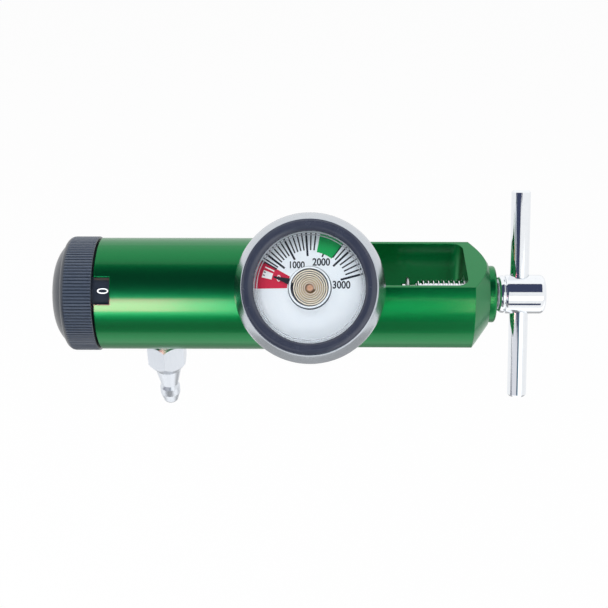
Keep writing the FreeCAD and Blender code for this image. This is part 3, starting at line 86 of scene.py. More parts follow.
class Finish:
    """A material put together from nodes on a Principled shader."""

    def __init__(self, name, constants):
        self.material = bpy.data.materials.new(name)
        self.material.use_nodes = True
        self.shader = self.material.node_tree.nodes["Principled BSDF"]
        self.feed(self.shader, constants)

    def feed(self, node, sockets):
        for key, value in sockets.items():
            if isinstance(value, Level):
                self.material.node_tree.links.new(value.socket, node.inputs[key])
            else:
                node.inputs[key].default_value = value

    def node(self, kind, settings, sockets, outlet=0):
        node = self.material.node_tree.nodes.new("ShaderNode" + kind)
        for key, value in settings.items():
            if key == "stops":
                while len(node.color_ramp.elements) < len(value):
                    node.color_ramp.elements.new(1.0)
                for element, (place, colour) in zip(node.color_ramp.elements, value):
                    element.position = place
                    element.color = (*colour, 1.0)
            else:
                setattr(node, key, value)
        self.feed(node, sockets)
        return Level(self, node.outputs[outlet])

    def place(self):
        return self.node("TexCoord", {}, {}, "Object")

    def grain(self, stretch, detail=2.0):
        """Noise from 0 to 1, with that many cells a metre along X, Y and Z."""
        spread = self.node("Mapping", {}, {"Vector": self.place(), "Scale": stretch})
        return self.node("TexNoise", {}, {"Vector": spread, "Scale": 1.0, "Detail": detail})

    def bump(self, height, distance, edge=0.0002):
        """Fine relief, over edges that look rounded to the given radius."""
        rounded = self.node("Bevel", {"samples": 6}, {"Radius": edge})
        lift = self.node("Bump", {}, {"Height": height, "Distance": distance, "Normal": rounded})
        self.feed(self.shader, {"Normal": lift})

    def tint(self, factor, low, high):
        """Base colour that runs from low to high with the factor."""
        first_colour, second_colour, mixed_colour = 6, 7, 2
        ends = {first_colour: (*low, 1), second_colour: (*high, 1)}
        blend = self.node("Mix", {"data_type": "RGBA"}, {"Factor": factor, **ends}, mixed_colour)
        self.feed(self.shader, {"Base Color": blend})

    def cover(self, *names):
        for name in names:
            mesh = bpy.data.objects[name].data
            mesh.materials.clear()
            mesh.materials.append(self.material)


anodised = Finish("anodised_green", {
    "Metallic": 1.0, "Coat Weight": 0.4, "Coat Roughness": 0.13, "Coat IOR": 1.5})
turning = anodised.grain((6000, 90, 90))
blasting = anodised.grain((5200, 5200, 5200), 3.0)
anodised.tint(blasting, (0.001, 0.170, 0.040), (0.003, 0.235, 0.062))
anodised.feed(anodised.shader, {"Roughness": 0.34 + 0.07 * blasting})
anodised.bump(turning + blasting, 0.000002, 0.0005)
anodised.cover("regulator_body")


# Flow knob: black plastic, moulded with fine grip ribs, a domed end and a thin skirt that carries
# the numbers inside the barrel.  A press-in cap of the same plastic hides its screw.
RIB_ROOT_RADIUS = 0.01762
RIB_CREST_RADIUS = 0.01786

moulded = Finish("knob_black", {"Specular IOR Level": 0.6, "Coat Weight": 0.4, "Coat Roughness": 0.2})
mottle = moulded.grain((900, 900, 900))
pores = moulded.grain((9000, 9000, 9000))
across = moulded.node("SeparateXYZ", {}, {0: moulded.place()}, 1)
upwards = moulded.node("SeparateXYZ", {}, {0: moulded.place()}, 2)
span = across * across + upwards * upwards
from_axis = span.combine("SQRT", span)
# Painted light and shade: the rib crests are painted lighter, and the grooves, dome, skirt and cap darker.
# This stands for the light the ribs catch and the shade between and beside them.
rib_crest_light = moulded.node("MapRange", {}, {
    "Value": from_axis, "From Min": RIB_ROOT_RADIUS, "From Max": RIB_CREST_RADIUS})
moulded.tint(rib_crest_light * (0.7 + 0.3 * mottle), (0.011, 0.017, 0.029), (0.046, 0.062, 0.094))
moulded.feed(moulded.shader, {"Roughness": 0.32 + 0.12 * mottle})
moulded.bump(pores, 0.000002, 0.00015)
moulded.cover("flow_knob", "knob_cap")


# Flow numbers: white, printed round the knob's skirt, one for each click.  Only the one in the
# barrel's notch is seen; it stands for the flow in litres a minute.
SKIRT_RADIUS = 0.0157
NUMBER_MIDDLE = -0.0710
NOTCH_ANGLE = 145
PRINT_THICKNESS = 0.00002
SIZE_PER_HEIGHT = 1.42
flows = ["0", ".5", "1", "1.5", "2", "2.5", "3", "4", "6", "8", "10", "15"]
click_angle = 360 / len(flows)

ink_white = Finish("ink_white", {"Base Color": (0.86, 0.88, 0.90, 1), "Specular IOR Level": 0.3})
ink_white.feed(ink_white.shader, {"Roughness": 0.5 + 0.2 * ink_white.grain((4000, 4000, 4000))})


def write(name, text, height, weight=0.012):
    """Upright figures round the origin in the XY plane, as a mesh one print thick."""
    bpy.ops.object.text_add()
    figures = bpy.context.object
    figures.name = name
    figures.data.body = text
    figures.data.size = height * SIZE_PER_HEIGHT
    figures.data.align_x = "CENTER"
    figures.data.align_y = "CENTER"
    figures.data.extrude = PRINT_THICKNESS / 2
    figures.data.offset = height * weight
    figures.data.resolution_u = 6
    bpy.ops.object.convert(target="MESH")
    return figures


def settle(piece, matrix):
    """Carries a piece to its place and leaves its object at the origin."""
    piece.data.transform(matrix @ piece.matrix_world)
    piece.matrix_world = Matrix.Identity(4)


def join(name, parts):
    """One piece of that name, made of all the parts."""
    bpy.ops.object.select_all(action="DESELECT")
    for part in parts:
        part.select_set(True)
    bpy.context.view_layer.objects.active = parts[0]
    if len(parts) > 1:
        bpy.ops.object.join()
    piece = bpy.context.object
    piece.name = name
    piece.data.name = name
    bpy.ops.object.select_all(action="DESELECT")
    return piece


drum = []
for click, flow in enumerate(flows):
    figures = write("flow_figure", flow, 0.0035 if len(flow) < 3 else 0.0029, -0.006)
    narrowing = 0.55 if len(flow) > 1 else 0.78
    figures.data.transform(Matrix.Diagonal((narrowing, 1, 1, 1)))
    for vertex in figures.data.vertices:
        across, along, lift = vertex.co
        angle = math.radians(NOTCH_ANGLE - click_angle * click) + across / SKIRT_RADIUS
        radius = SKIRT_RADIUS + PRINT_THICKNESS + lift
        vertex.co = (NUMBER_MIDDLE - along, radius * math.cos(angle), radius * math.sin(angle))
    drum.append(figures)
flow_numbers = join("flow_numbers", drum)
ink_white.cover("flow_numbers")
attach(flow_numbers, "selector")


# Plated pieces: the T-screw and its bar are turned from steel, polished and chromed.  The hose
# barb is one piece of turned brass with its hexagon, and its plating is satin.
plated = Finish("chrome_plate", {"Metallic": 1.0})
polish = plated.grain((700, 700, 700))
plated.tint(polish, (0.80, 0.83, 0.87), (0.88, 0.90, 0.92))
plated.feed(plated.shader, {"Roughness": 0.05 + 0.05 * polish})
plated.cover("t_bar", "t_screw")

satin = Finish("satin_plate", {"Metallic": 1.0})
brushing = satin.grain((1500, 1500, 300))
satin.tint(brushing, (0.68, 0.72, 0.77), (0.76, 0.79, 0.84))
satin.feed(satin.shader, {"Roughness": 0.27 + 0.10 * brushing})
satin.cover("outlet_barb")


# Brass pieces: the gauge's socket, the inlet nipple and the parts that meter the gas are turned
# from bar.  The socket shows at the gauge's back and the nipple inside the yoke.
brass = Finish("brass_turned", {"Metallic": 1.0})
wear = brass.grain((500, 500, 500))
brass.tint(wear, (0.72, 0.52, 0.22), (0.84, 0.66, 0.34))
brass.feed(brass.shader, {"Roughness": 0.24 + 0.14 * wear})
brass.cover("gauge_socket", "inlet_nipple", "seat_nozzle", "piston", "orifice_disc",
            "selector_spindle", "yoke_washer_ring")


# Gauge case: a deep-drawn steel can whose open end is rolled outwards into a wide rim, nickel plated
# and polished, so that the rim mirrors the green barrel on its two sides.
GAUGE_PLACE = -0.008
GAUGE_TILT = 35
GAUGE_TO_PART = (Matrix.Translation((GAUGE_PLACE, 0, 0))
                 @ Matrix.Rotation(math.radians(90 - GAUGE_TILT), 4, "X"))
TURNED_TO_GAUGE = Matrix.Rotation(math.radians(-90), 4, "Y")


def turned(name, rings, sides=128):
    """A round piece about X: a disc at the first ring, extruded and scaled from ring to ring."""
    bpy.ops.mesh.primitive_circle_add(vertices=sides, radius=rings[0][1], fill_type="NGON",
                                      location=(rings[0][0], 0, 0), rotation=(0, math.pi / 2, 0))
    piece = bpy.context.object
    piece.name = name
    bpy.ops.object.transform_apply(location=True, rotation=True, scale=True)
    bpy.ops.object.mode_set(mode="EDIT")
    bpy.ops.mesh.select_all(action="SELECT")
    for (start, old), (end, new) in zip(rings, rings[1:]):
        bpy.ops.mesh.extrude_region_move(TRANSFORM_OT_translate={"value": (end - start, 0, 0)})
        bpy.ops.transform.resize(value=(1, new / old, new / old), center_override=(end, 0, 0))
    bpy.ops.mesh.select_all(action="SELECT")
    bpy.ops.mesh.normals_make_consistent(inside=False)
    bpy.ops.object.mode_set(mode="OBJECT")
    return piece


# The case's outline as level and radius: up the can, out and along the sloping rim, over its lip
# and down to the seat of the window, then inside to the bottom.
case_rings = [
    (0.02444, 0.01760), (0.02455, 0.01800), (0.02485, 0.01828), (0.02524, 0.01840), (0.03820, 0.01840),
    (0.03820, 0.02120), (0.03826, 0.02142), (0.03850, 0.02150), (0.03880, 0.02146), (0.04050, 0.02092),
    (0.04200, 0.02040), (0.04350, 0.01985), (0.04480, 0.01935), (0.04520, 0.01918), (0.04540, 0.01905),
    (0.04548, 0.01893), (0.04549, 0.01885), (0.04544, 0.01882), (0.04520, 0.01912), (0.04250, 0.01913),
    (0.04250, 0.01700), (0.03880, 0.01700), (0.03880, 0.01600), (0.02600, 0.01600), (0.02564, 0.01560),
]
rim = turned("gauge_case_polished", case_rings)
settle(rim, GAUGE_TO_PART @ TURNED_TO_GAUGE)
rim.select_set(True)
bpy.ops.object.shade_smooth_by_angle(angle=math.radians(30))
rim.select_set(False)
nickel = Finish("case_nickel", {"Metallic": 1.0})
buffing = nickel.grain((900, 900, 900))
nickel.tint(buffing, (0.47, 0.51, 0.56), (0.56, 0.60, 0.65))
nickel.feed(nickel.shader, {"Roughness": 0.14 + 0.08 * buffing})
nickel.cover("gauge_case_polished", "gauge_case")
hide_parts("gauge_case")
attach(rim, "housing")


# Gauge front: a black moulded ring with a rounded crest holds the window on the case.  The window
# is a flat clear disc that mirrors most where it is seen at a slant.
ring_gloss = Finish("black_ring", {"Coat Weight": 0.25, "Coat Roughness": 0.1})
sheen = ring_gloss.grain((300, 300, 300))
ring_gloss.tint(sheen, (0.018, 0.022, 0.039), (0.028, 0.034, 0.056))
ring_gloss.feed(ring_gloss.shader, {"Roughness": 0.22 + 0.08 * sheen})
ring_gloss.cover("gauge_window_ring")

WINDOW_GLARE = 0.8
clear = Finish("window_clear", {"Metallic": 1.0, "Base Color": (1, 1, 1, 1), "Roughness": 0.03})
mirrored = clear.node("Fresnel", {}, {"IOR": 1.5})
clear.feed(clear.shader, {"Alpha": mirrored * WINDOW_GLARE})
clear.cover("gauge_window")


# Window details: the clear disc is moulded with a stepped rim. Two fine pale rings just inside the black
# ring are painted highlights that stand for the light its steps catch.  A thin white ring on its back
# stands round the coil.
HOOP_HEIGHT = 0.0002
STEP_LEVEL = 0.04250
STEP_RINGS = ((0.01478, 0.00030), (0.01535, 0.00016))
GUARD_LEVEL = 0.04242
GUARD_RADIUS = 0.00562
GUARD_WIDTH = 0.00058


def hoop(name, middle, width, level):
    """A thin flat ring about the gauge's axis."""
    bpy.ops.mesh.primitive_torus_add(major_radius=middle, minor_radius=width / 2, major_segments=128,
                                     minor_segments=8, location=(0, 0, level))
    band = bpy.context.object
    band.name = name
    band.scale = (1, 1, HOOP_HEIGHT / width)
    bpy.ops.object.transform_apply(location=True, rotation=False, scale=True)
    bpy.ops.object.shade_smooth()
    return band


# Painted highlight: pale, half-clear hoops stand for the glint of the window's two steps.
steps = [hoop("window_step", radius, width, STEP_LEVEL) for radius, width in STEP_RINGS]
window_step_glints = join("window_step_glints", steps)
settle(window_step_glints, GAUGE_TO_PART)
step_glint_paint = Finish("window_step_glint_paint", {"Specular IOR Level": 0.8})
cloud = step_glint_paint.grain((600, 600, 600))
step_glint_paint.tint(cloud, (0.70, 0.77, 0.85), (0.86, 0.90, 0.95))
step_glint_paint.feed(step_glint_paint.shader, {"Alpha": 0.35 + 0.2 * cloud, "Roughness": 0.1 + 0.1 * cloud})
step_glint_paint.cover("window_step_glints")
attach(window_step_glints, "housing")


# Dial: a white enamelled plate behind the window, with a hole in which the coil shows.  Its scale,
# red and green fields and figures are printed.
PRINT_LEVEL = 0.03924
SECOND_INK = PRINT_LEVEL + PRINT_THICKNESS
THIRD_INK = PRINT_LEVEL + 2 * PRINT_THICKNESS
SCALE_EDGE = 0.0156
MAIN_TICK_FOOT = 0.0090
MAIN_TICK_WIDTH = 0.00058
FINE_TICK_FOOT = 0.0107
FINE_TICK_WIDTH = 0.00040
FINE_STEP = 100
FIRST_TICK = 300
FIELD_EDGE = 0.0157
RED_FOOT = 0.0064
RED_START = 150.5
RED_END = 181.0
GREEN_FOOT = 0.0103
GREEN_START = 53.5
GREEN_END = 79.2
WHITE_FOOT = 0.0111
WHITE_EDGE = 0.0139
FIGURE_WEIGHT = 0.034
FIGURE_NARROWING = 0.86

enamel = Finish("dial_white", {"Specular IOR Level": 0.4})
clouding = enamel.grain((350, 350, 350))
enamel.tint(clouding, (0.80, 0.875, 0.945), (0.86, 0.92, 0.97))
enamel.feed(enamel.shader, {"Roughness": 0.42 + 0.1 * clouding})
enamel.cover("gauge_dial")

coil_guard = hoop("coil_guard", GUARD_RADIUS, GUARD_WIDTH, GUARD_LEVEL)
settle(coil_guard, GAUGE_TO_PART)
enamel.cover("coil_guard")
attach(coil_guard, "housing")


def printed(name, colour):
    """A matt ink or paint whose strength varies a little."""
    ink = Finish(name, {"Specular IOR Level": 0.3})
    strength = ink.grain((2500, 2500, 2500))
    ink.tint(strength, [channel * 0.9 for channel in colour], [channel * 1.1 for channel in colour])
    ink.feed(ink.shader, {"Roughness": 0.42 + 0.15 * strength})
    return ink


ink_black = printed("ink_black", (0.016, 0.022, 0.034))
ink_red = printed("ink_red", (0.60, 0.015, 0.055))
ink_green = printed("ink_green", (0.0, 0.36, 0.085))


def stroke(angle, inner, outer, width, level):
    """A printed line along a radius of the dial."""
    bpy.ops.mesh.primitive_cube_add(size=1, location=((inner + outer) / 2, 0, level))
    line = bpy.context.object
    line.scale = (outer - inner, width, PRINT_THICKNESS)
    bpy.ops.object.transform_apply(location=True, rotation=False, scale=True)
    settle(line, Matrix.Rotation(math.radians(angle), 4, "Z"))
    return line


def field(inner, outer, start, end, level):
    """A printed sector of the dial: a thin upright strip spun about the gauge's axis."""
    bpy.ops.mesh.primitive_plane_add(size=1, rotation=(math.pi / 2, 0, 0),
                                     location=((inner + outer) / 2, 0, level))
    sector = bpy.context.object
    sector.scale = (outer - inner, PRINT_THICKNESS, 1)
    bpy.ops.object.transform_apply(location=True, rotation=True, scale=True)
    sector.data.transform(Matrix.Rotation(math.radians(start), 4, "Z"))
    bpy.ops.object.mode_set(mode="EDIT")
    bpy.ops.mesh.select_all(action="SELECT")
    bpy.ops.mesh.spin(steps=24, angle=math.radians(start - end), center=(0, 0, 0), axis=(0, 0, 1))
    bpy.ops.mesh.select_all(action="SELECT")
    bpy.ops.mesh.normals_make_consistent(inside=False)
    bpy.ops.object.mode_set(mode="OBJECT")
    return sector


def main_tick(angle):
    return stroke(angle, MAIN_TICK_FOOT, SCALE_EDGE, MAIN_TICK_WIDTH, PRINT_LEVEL)


def fine_tick(angle, level=PRINT_LEVEL):
    return stroke(angle, FINE_TICK_FOOT, SCALE_EDGE, FINE_TICK_WIDTH, level)


def dial_print(name, parts, ink):
    """One print of the dial in one ink, made of all the parts."""
    piece = join(name, parts)
    settle(piece, GAUGE_TO_PART)
    ink.cover(name)
    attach(piece, "housing")


# Angles at which the main ticks stand.  The 2000 tick shows only below the green field.
scale_angles = {0: 167.0, 500: 142.2, 1000: 118.2, 1500: 94.1, 2000: 68.4, 2500: 43.0, 3000: 14.9}
main_pressures = sorted(scale_angles)
ticks = []
for low, high in zip(main_pressures, main_pressures[1:]):
    for pressure in range(low, high, FINE_STEP):
        share = (pressure - low) / (high - low)
        angle = scale_angles[low] + (scale_angles[high] - scale_angles[low]) * share
        if pressure < FIRST_TICK or GREEN_START < angle < GREEN_END:
            continue
        ticks.append(main_tick(angle) if pressure == low else fine_tick(angle))
ticks.append(main_tick(scale_angles[3000]))
ticks.append(stroke(scale_angles[2000], 0.0094, GREEN_FOOT, 0.00045, PRINT_LEVEL))
ticks.append(fine_tick(150.4, SECOND_INK))
scale_figures = [("1000", -0.00376, 0.00640, 0.00190), ("2000", 0.0032, 0.00722, 0.00205),
                 ("3000", 0.0089, 0.00078, 0.00210)]
for text, x, y, height in scale_figures:
    figures = write("scale_figure", text, height, FIGURE_WEIGHT)
    settle(figures, Matrix.Translation((x, y, PRINT_LEVEL)) @ Matrix.Diagonal((FIGURE_NARROWING, 1, 1, 1)))
    ticks.append(figures)
dial_print("dial_scale", ticks, ink_black)
dial_print("dial_red_field", [field(RED_FOOT, FIELD_EDGE, RED_START, RED_END, PRINT_LEVEL)], ink_red)
dial_print("dial_green_field", [field(GREEN_FOOT, FIELD_EDGE, GREEN_START, GREEN_END, PRINT_LEVEL)],
           ink_green)
marks = [stroke(155.0, WHITE_FOOT, WHITE_EDGE, 0.00035, SECOND_INK),
         field(WHITE_FOOT, WHITE_EDGE, 158.8, 167.8, SECOND_INK)]
figures = write("zero_figure", "0", 0.0018)
settle(figures, Matrix.Translation((-0.0088, 0.0026, SECOND_INK)))
marks.append(figures)
dial_print("dial_white_marks", marks, ink_white)
dots = [stroke(angle, 0.0132, 0.0138, 0.0003, THIRD_INK) for angle in (160.8, 164.6)]
dial_print("dial_dark_marks", dots, ink_black)


# Bourdon coil and pointer: a flattened bronze tube wound flat, copper-brown in the middle where it
# is brazed to its pin, and a short black pointer clipped to its outer end.
HEAT_PER_METRE = 190
gauge_axis = (0, -math.cos(math.radians(GAUGE_TILT)), math.sin(math.radians(GAUGE_TILT)))
heat_colours = [(0.0, (0.62, 0.32, 0.19)), (0.17, (0.66, 0.40, 0.27)), (0.24, (0.80, 0.66, 0.52)),
                (0.40, (0.93, 0.83, 0.65)), (1.0, (0.96, 0.89, 0.75))]
bronze = Finish("coil_bronze", {"Metallic": 0.12})
centred = bronze.node("Mapping", {"vector_type": "POINT"}, {
    "Vector": bronze.place(), "Location": (-GAUGE_PLACE, 0, 0)})
from_middle = bronze.node("VectorMath", {"operation": "CROSS_PRODUCT"}, {0: centred, 1: gauge_axis})
distance = bronze.node("VectorMath", {"operation": "LENGTH"}, {0: from_middle}, "Value")
heat = bronze.node("ValToRGB", {"stops": heat_colours}, {"Fac": distance * HEAT_PER_METRE})
bronze.feed(bronze.shader, {"Base Color": heat, "Roughness": 0.3 + 0.1 * bronze.grain((900, 900, 900))})
pin_rings = [(0.0364, 0.00070), (0.0366, 0.00102), (0.0385, 0.00104), (0.0388, 0.00098),
             (0.0390, 0.00072), (0.03908, 0.00036)]
coil_pin = turned("coil_pin", pin_rings, 32)
settle(coil_pin, GAUGE_TO_PART @ TURNED_TO_GAUGE)
bronze.cover("bourdon_coil", "coil_pin")
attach(coil_pin, "housing")

pointer_paint = printed("pointer_black", (0.022, 0.024, 0.030))
pointer_paint.cover("gauge_pointer")


# T-screw: chromed steel.  The head is drilled for the bar, and the shank has a coarse V thread that
# runs through the neck's threaded bush.  A loose washer turns on its tip.
THREAD_PITCH = 0.0015875
THREAD_START = 0.0243
THREAD_END = 0.0490
THREAD_LEAD_IN = 0.0008
THREAD_SINK = 0.0002
THREAD_STEPS = 48
ROOT_RADIUS = 0.0039
CREST_RADIUS = 0.00474
BAR_HOLE_RADIUS = 0.00304
BAR_HOLE_DEPTH = 0.03
BAR_PLACE = 0.05685
BAR_ANGLE = -25

# The screw's outline as place and radius: tip, shank, collar, head with its groove, and end.  Two
# rings stand close to the head's edges, so that its reflections run straight.
screw_rings = [
    (0.0199, 0.0032), (0.0202, 0.0036), (0.0211, 0.0036), (0.0211, 0.00325), (0.0242, 0.00325),
    (0.0242, 0.0037), (0.0244, ROOT_RADIUS), (0.0495, ROOT_RADIUS), (0.0497, 0.00476),
    (0.04995, 0.00520), (0.0503, 0.00555), (0.0507, 0.00580), (0.0512, 0.00595), (0.05178, 0.00597),
    (0.0519, 0.00590), (0.0519, 0.00545), (0.05225, 0.00545), (0.05225, 0.00578), (0.05235, 0.0060),
    (0.05265, 0.00615), (0.0529, 0.00615), (0.0628, 0.00615), (0.06305, 0.00615), (0.0636, 0.00606),
    (0.0641, 0.00580), (0.0645, 0.00535), (0.06468, 0.0049), (0.06475, 0.0044),
]
screw = turned("t_screw_threaded", screw_rings)
bpy.ops.mesh.primitive_cylinder_add(vertices=64, radius=BAR_HOLE_RADIUS, depth=BAR_HOLE_DEPTH,
                                    location=(BAR_PLACE, 0, 0),
                                    rotation=(math.radians(BAR_ANGLE), 0, 0))
drill = bpy.context.object
drilling = screw.modifiers.new("bar_hole", "BOOLEAN")
drilling.operation = "DIFFERENCE"
drilling.object = drill
bpy.context.view_layer.objects.active = screw
bpy.ops.object.modifier_apply(modifier="bar_hole")
bpy.data.objects.remove(drill)

bpy.ops.mesh.primitive_plane_add(size=1, rotation=(math.pi / 2, 0, 0))
thread = bpy.context.object
bpy.ops.object.transform_apply(location=True, rotation=True, scale=True)
# The thread's section: each corner's place as a share of the pitch, and its radius.
corners = [(-0.45, ROOT_RADIUS - THREAD_SINK), (0.45, ROOT_RADIUS - THREAD_SINK),
           (0.07, CREST_RADIUS), (-0.07, CREST_RADIUS)]
for vertex, (across, radius) in zip(thread.data.vertices, corners):
    vertex.co = (THREAD_START + THREAD_LEAD_IN + across * THREAD_PITCH, 0, radius)
winding = thread.modifiers.new("winding", "SCREW")
winding.axis = "X"
winding.angle = 2 * math.pi
winding.screw_offset = THREAD_PITCH
winding.iterations = int((THREAD_END - THREAD_START) / THREAD_PITCH)
winding.steps = THREAD_STEPS
winding.render_steps = THREAD_STEPS
winding.use_merge_vertices = True
bpy.context.view_layer.objects.active = thread
bpy.ops.object.modifier_apply(modifier="winding")
t_screw = join("t_screw_threaded", [screw, thread])
bpy.context.view_layer.objects.active = t_screw
t_screw.select_set(True)
bpy.ops.object.shade_smooth_by_angle(angle=math.radians(35))
t_screw.select_set(False)
plated.cover("t_screw_threaded")
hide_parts("t_screw")
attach(t_screw, "clamp_screw")


# Plain pieces: index pins, bush, pressure washer, ball, retaining ring, springs and the knob's
# screw are bright steel.  The fixed discs in the barrel are faced from aluminium bar.
steel = Finish("steel_plain", {"Metallic": 1.0})
lines = steel.grain((2500, 400, 400))
steel.tint(lines, (0.50, 0.51, 0.53), (0.66, 0.67, 0.69))
steel.feed(steel.shader, {"Roughness": 0.22 + 0.16 * lines})
steel.cover("index_pins", "screw_bush", "pressure_washer", "detent_ball", "detent_spring",
            "retaining_ring", "piston_spring", "knob_screw")

aluminium = Finish("aluminium_plain", {"Metallic": 1.0})
facing = aluminium.grain((2500, 300, 300))
aluminium.tint(facing, (0.70, 0.71, 0.72), (0.82, 0.83, 0.84))
aluminium.feed(aluminium.shader, {"Roughness": 0.30 + 0.12 * facing})
aluminium.cover("metering_carrier", "bearing_plate")


# Seals and filter: black rubber rings sit in turned grooves, nylon washers lie under the outlet
# and the gauge, and the inlet's filter is a plug of sintered bronze grains.
rubber = Finish("seal_rubber", {"Specular IOR Level": 0.35})
bloom = rubber.grain((1200, 1200, 1200))
rubber.tint(bloom, (0.018, 0.018, 0.020), (0.034, 0.034, 0.037))
rubber.feed(rubber.shader, {"Roughness": 0.55 + 0.2 * bloom})
rubber.cover("yoke_washer_seal", "piston_seal", "stem_seal", "carrier_seal", "port_seal",
             "plate_seal", "spindle_seal")

nylon = Finish("seat_nylon", {"Specular IOR Level": 0.4})
milkiness = nylon.grain((1500, 1500, 1500))
nylon.tint(milkiness, (0.74, 0.73, 0.68), (0.84, 0.83, 0.79))
nylon.feed(nylon.shader, {"Roughness": 0.4 + 0.15 * milkiness})
nylon.cover("piston_seat", "outlet_washer", "gauge_washer")

sintered = Finish("bronze_sintered", {"Metallic": 0.8})
granules = sintered.grain((8000, 8000, 8000), 4.0)
sintered.tint(granules, (0.36, 0.24, 0.12), (0.66, 0.48, 0.28))
sintered.feed(sintered.shader, {"Roughness": 0.55 + 0.2 * granules})
sintered.bump(granules, 0.00004)
sintered.cover("inlet_filter")


# Studio: a pale floor far below the hanging part, a white surround, two soft lamps, strip lamps
# that only the barrel mirrors, and dark and bright cards that only glossy surfaces see.
FLOOR_LEVEL = -0.30
FLOOR_GLOW = 0.93
SURROUND_LIGHT = 0.65
VIEW_ANGLE = 35
WHITE = (1, 1, 1)
PALE = (0.80, 0.80, 0.84)
GREY = (0.3, 0.3, 0.3)
SLATE = (0.12, 0.12, 0.14)
NAVY = (0.050, 0.062, 0.120)


class Surround(Finish):
    """The world's own shader, put together in the same way."""

    def __init__(self, name):
        self.material = bpy.data.worlds.new(name)
        self.material.use_nodes = True
        self.shader = self.material.node_tree.nodes["Background"]


def seen_directly(finish):
    """1 for rays that come straight from the camera or off a glossy or clear surface."""
    seen = finish.node("LightPath", {}, {}, "Is Camera Ray")
    for outlet in ("Is Glossy Ray", "Is Transmission Ray"):
        seen = seen.combine("MAXIMUM", seen, finish.node("LightPath", {}, {}, outlet))
    return seen


bpy.ops.mesh.primitive_plane_add(size=8, location=(0, 0, FLOOR_LEVEL))
floor = bpy.context.object
floor.name = "floor"
pale = Finish("floor_pale", {"Base Color": (0.86, 0.86, 0.87, 1), "Roughness": 0.9})
shaded = Level(pale, pale.shader.outputs[0])
glowing = pale.node("Emission", {}, {"Color": (*WHITE, 1), "Strength": 1.0})
lit = pale.node("MixShader", {}, {"Fac": FLOOR_GLOW * seen_directly(pale), 1: shaded, 2: glowing})
pale.feed(pale.material.node_tree.nodes["Material Output"], {"Surface": lit})
pale.cover("floor")

surround = Surround("surround")
bpy.context.scene.world = surround.material
brightness = surround.node("MapRange", {}, {"Value": seen_directly(surround), "To Min": SURROUND_LIGHT})
surround.feed(surround.shader, {"Color": (*WHITE, 1), "Strength": brightness})

anodised_pieces = bpy.data.collections.new("anodised_pieces")
anodised_pieces.objects.link(bpy.data.objects["regulator_body"])


def round_barrel(angle, distance, x):
    """A place round the barrel: angle 0 is towards the camera, and positive angles are above it."""
    tilt = math.radians(VIEW_ANGLE + angle)
    return Vector((x, -distance * math.cos(tilt), distance * math.sin(tilt)))


def lamp(name, angle, distance, x, size, power):
    """A soft rectangular lamp aimed at the barrel, left out of the reflections."""
    light = bpy.data.lights.new(name, "AREA")
    light.shape = "RECTANGLE"
    light.size, light.size_y = size
    light.energy = power
    fitting = bpy.data.objects.new(name, light)
    bpy.context.scene.collection.objects.link(fitting)
    place = round_barrel(angle, distance, x)
    fitting.location = place
    fitting.rotation_euler = (-place).to_track_quat("-Z", "Y").to_euler()
    fitting.visible_glossy = False
    return fitting


def highlight(name, angle, distance, x, size, colour, radiance):
    """A strip lamp that lights and is mirrored by the anodised body alone: its long bright streak."""
    strip = lamp(name, angle, distance, x, size, radiance * math.pi * size[0] * size[1])
    strip.rotation_euler = (math.pi / 2 - math.radians(VIEW_ANGLE + angle), 0, 0)
    strip.data.color = colour
    strip.visible_glossy = True
    strip.visible_camera = False
    strip.light_linking.receiver_collection = anodised_pieces


def even(colour):
    """A card's stops where it has the same colour from left to right."""
    return [(0.0, colour), (1.0, colour)]


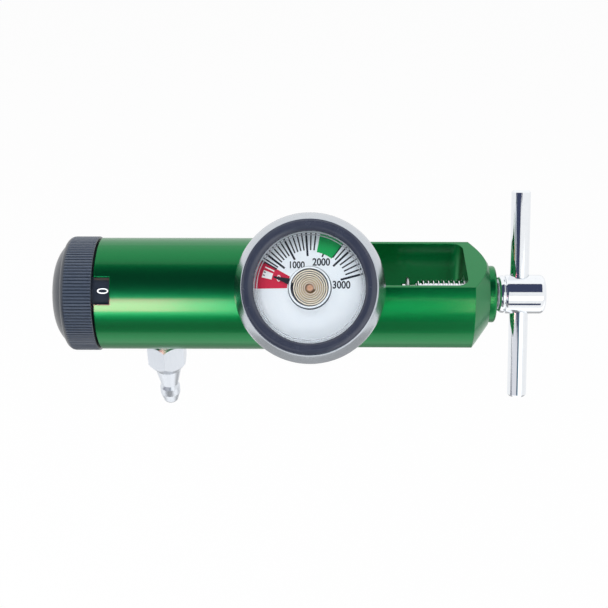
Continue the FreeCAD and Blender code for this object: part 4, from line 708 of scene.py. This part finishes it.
def card(name, start, end, distance, left, right, stops, strength=1.0):
    """A curved card round the barrel, seen only in reflections, that shades from left to right."""
    bpy.ops.mesh.primitive_plane_add(size=1)
    sheet = bpy.context.object
    sheet.name = name
    bpy.ops.object.mode_set(mode="EDIT")
    bpy.ops.mesh.subdivide(number_cuts=15)
    bpy.ops.object.mode_set(mode="OBJECT")
    for vertex in sheet.data.vertices:
        along, across, _ = vertex.co
        angle = start + (across + 0.5) * (end - start)
        vertex.co = round_barrel(angle, distance, left + (along + 0.5) * (right - left))
    paint = Finish(name, {"Base Color": (0, 0, 0, 1), "Roughness": 1.0, "Specular IOR Level": 0.0,
                          "Emission Strength": strength})
    sides = paint.node("SeparateXYZ", {}, {0: paint.place()})
    shade = paint.node("ValToRGB", {"stops": stops}, {"Fac": (sides - left) * (1 / (right - left))})
    paint.feed(paint.shader, {"Emission Color": shade})
    paint.cover(name)
    sheet.visible_camera = False
    sheet.visible_diffuse = False
    sheet.visible_shadow = False
    sheet.visible_transmission = False


highlight("streak_wide", -28.5, 0.535, -0.160, (0.25, 0.345), (0.50, 1, 0.70), 3.6)
highlight("streak_middle", -26, 0.530, -0.190, (0.21, 0.25), (1, 0.14, 0.27), 8.5)
highlight("streak_bright", -26.5, 0.525, -0.210, (0.19, 0.24), (1, 0.13, 0.30), 19.0)
highlight("streak_end", -26, 0.535, 0.106, (0.014, 0.26), (0.7, 0.80, 0.45), 14.0)
lamp("key_lamp", 32, 0.9, -0.2, (0.9, 0.6), 8.5)
lamp("low_lamp", -40, 0.9, 0.3, (0.8, 0.5), 4.0)
card("upper_card", 60, 136, 0.60, -0.7, 0.7, even(WHITE), 1.1)
card("dark_card", -10, 58, 0.55, -0.7, 0.122, even(NAVY))
card("head_card", 9, 60, 0.55, 0.122, 0.35, even(NAVY))
card("head_line", -70, -58, 0.27, 0.085, 0.115, even(NAVY))
card("streak_left", -21, -10, 0.55, -1.6, -0.03, even(NAVY))
card("window_card", -41, -16, 0.57, -1.6, 0.7,
     [(0.0, PALE), (0.66, PALE), (0.68, NAVY), (0.709, (0.13, 0.22, 0.28)), (0.744, (0.20, 0.34, 0.40)),
      (0.752, (1.5, 1.5, 1.5))])
card("lower_card", -62, -42, 0.60, -1.6, 0.7,
     [(0.0, NAVY), (0.60, NAVY), (0.66, SLATE), (0.744, SLATE), (0.752, WHITE)])
card("floor_card", -88, -62, 0.28, -1.6, 0.083, [(0.0, NAVY), (0.75, NAVY), (0.88, GREY), (1.0, GREY)])
card("under_card", -124, -88, 0.27, -0.7, 0.7, even(WHITE), 1.25)
card("shade_card", -158, -124, 0.27, -0.2, 0.2, even(WHITE), 0.5)
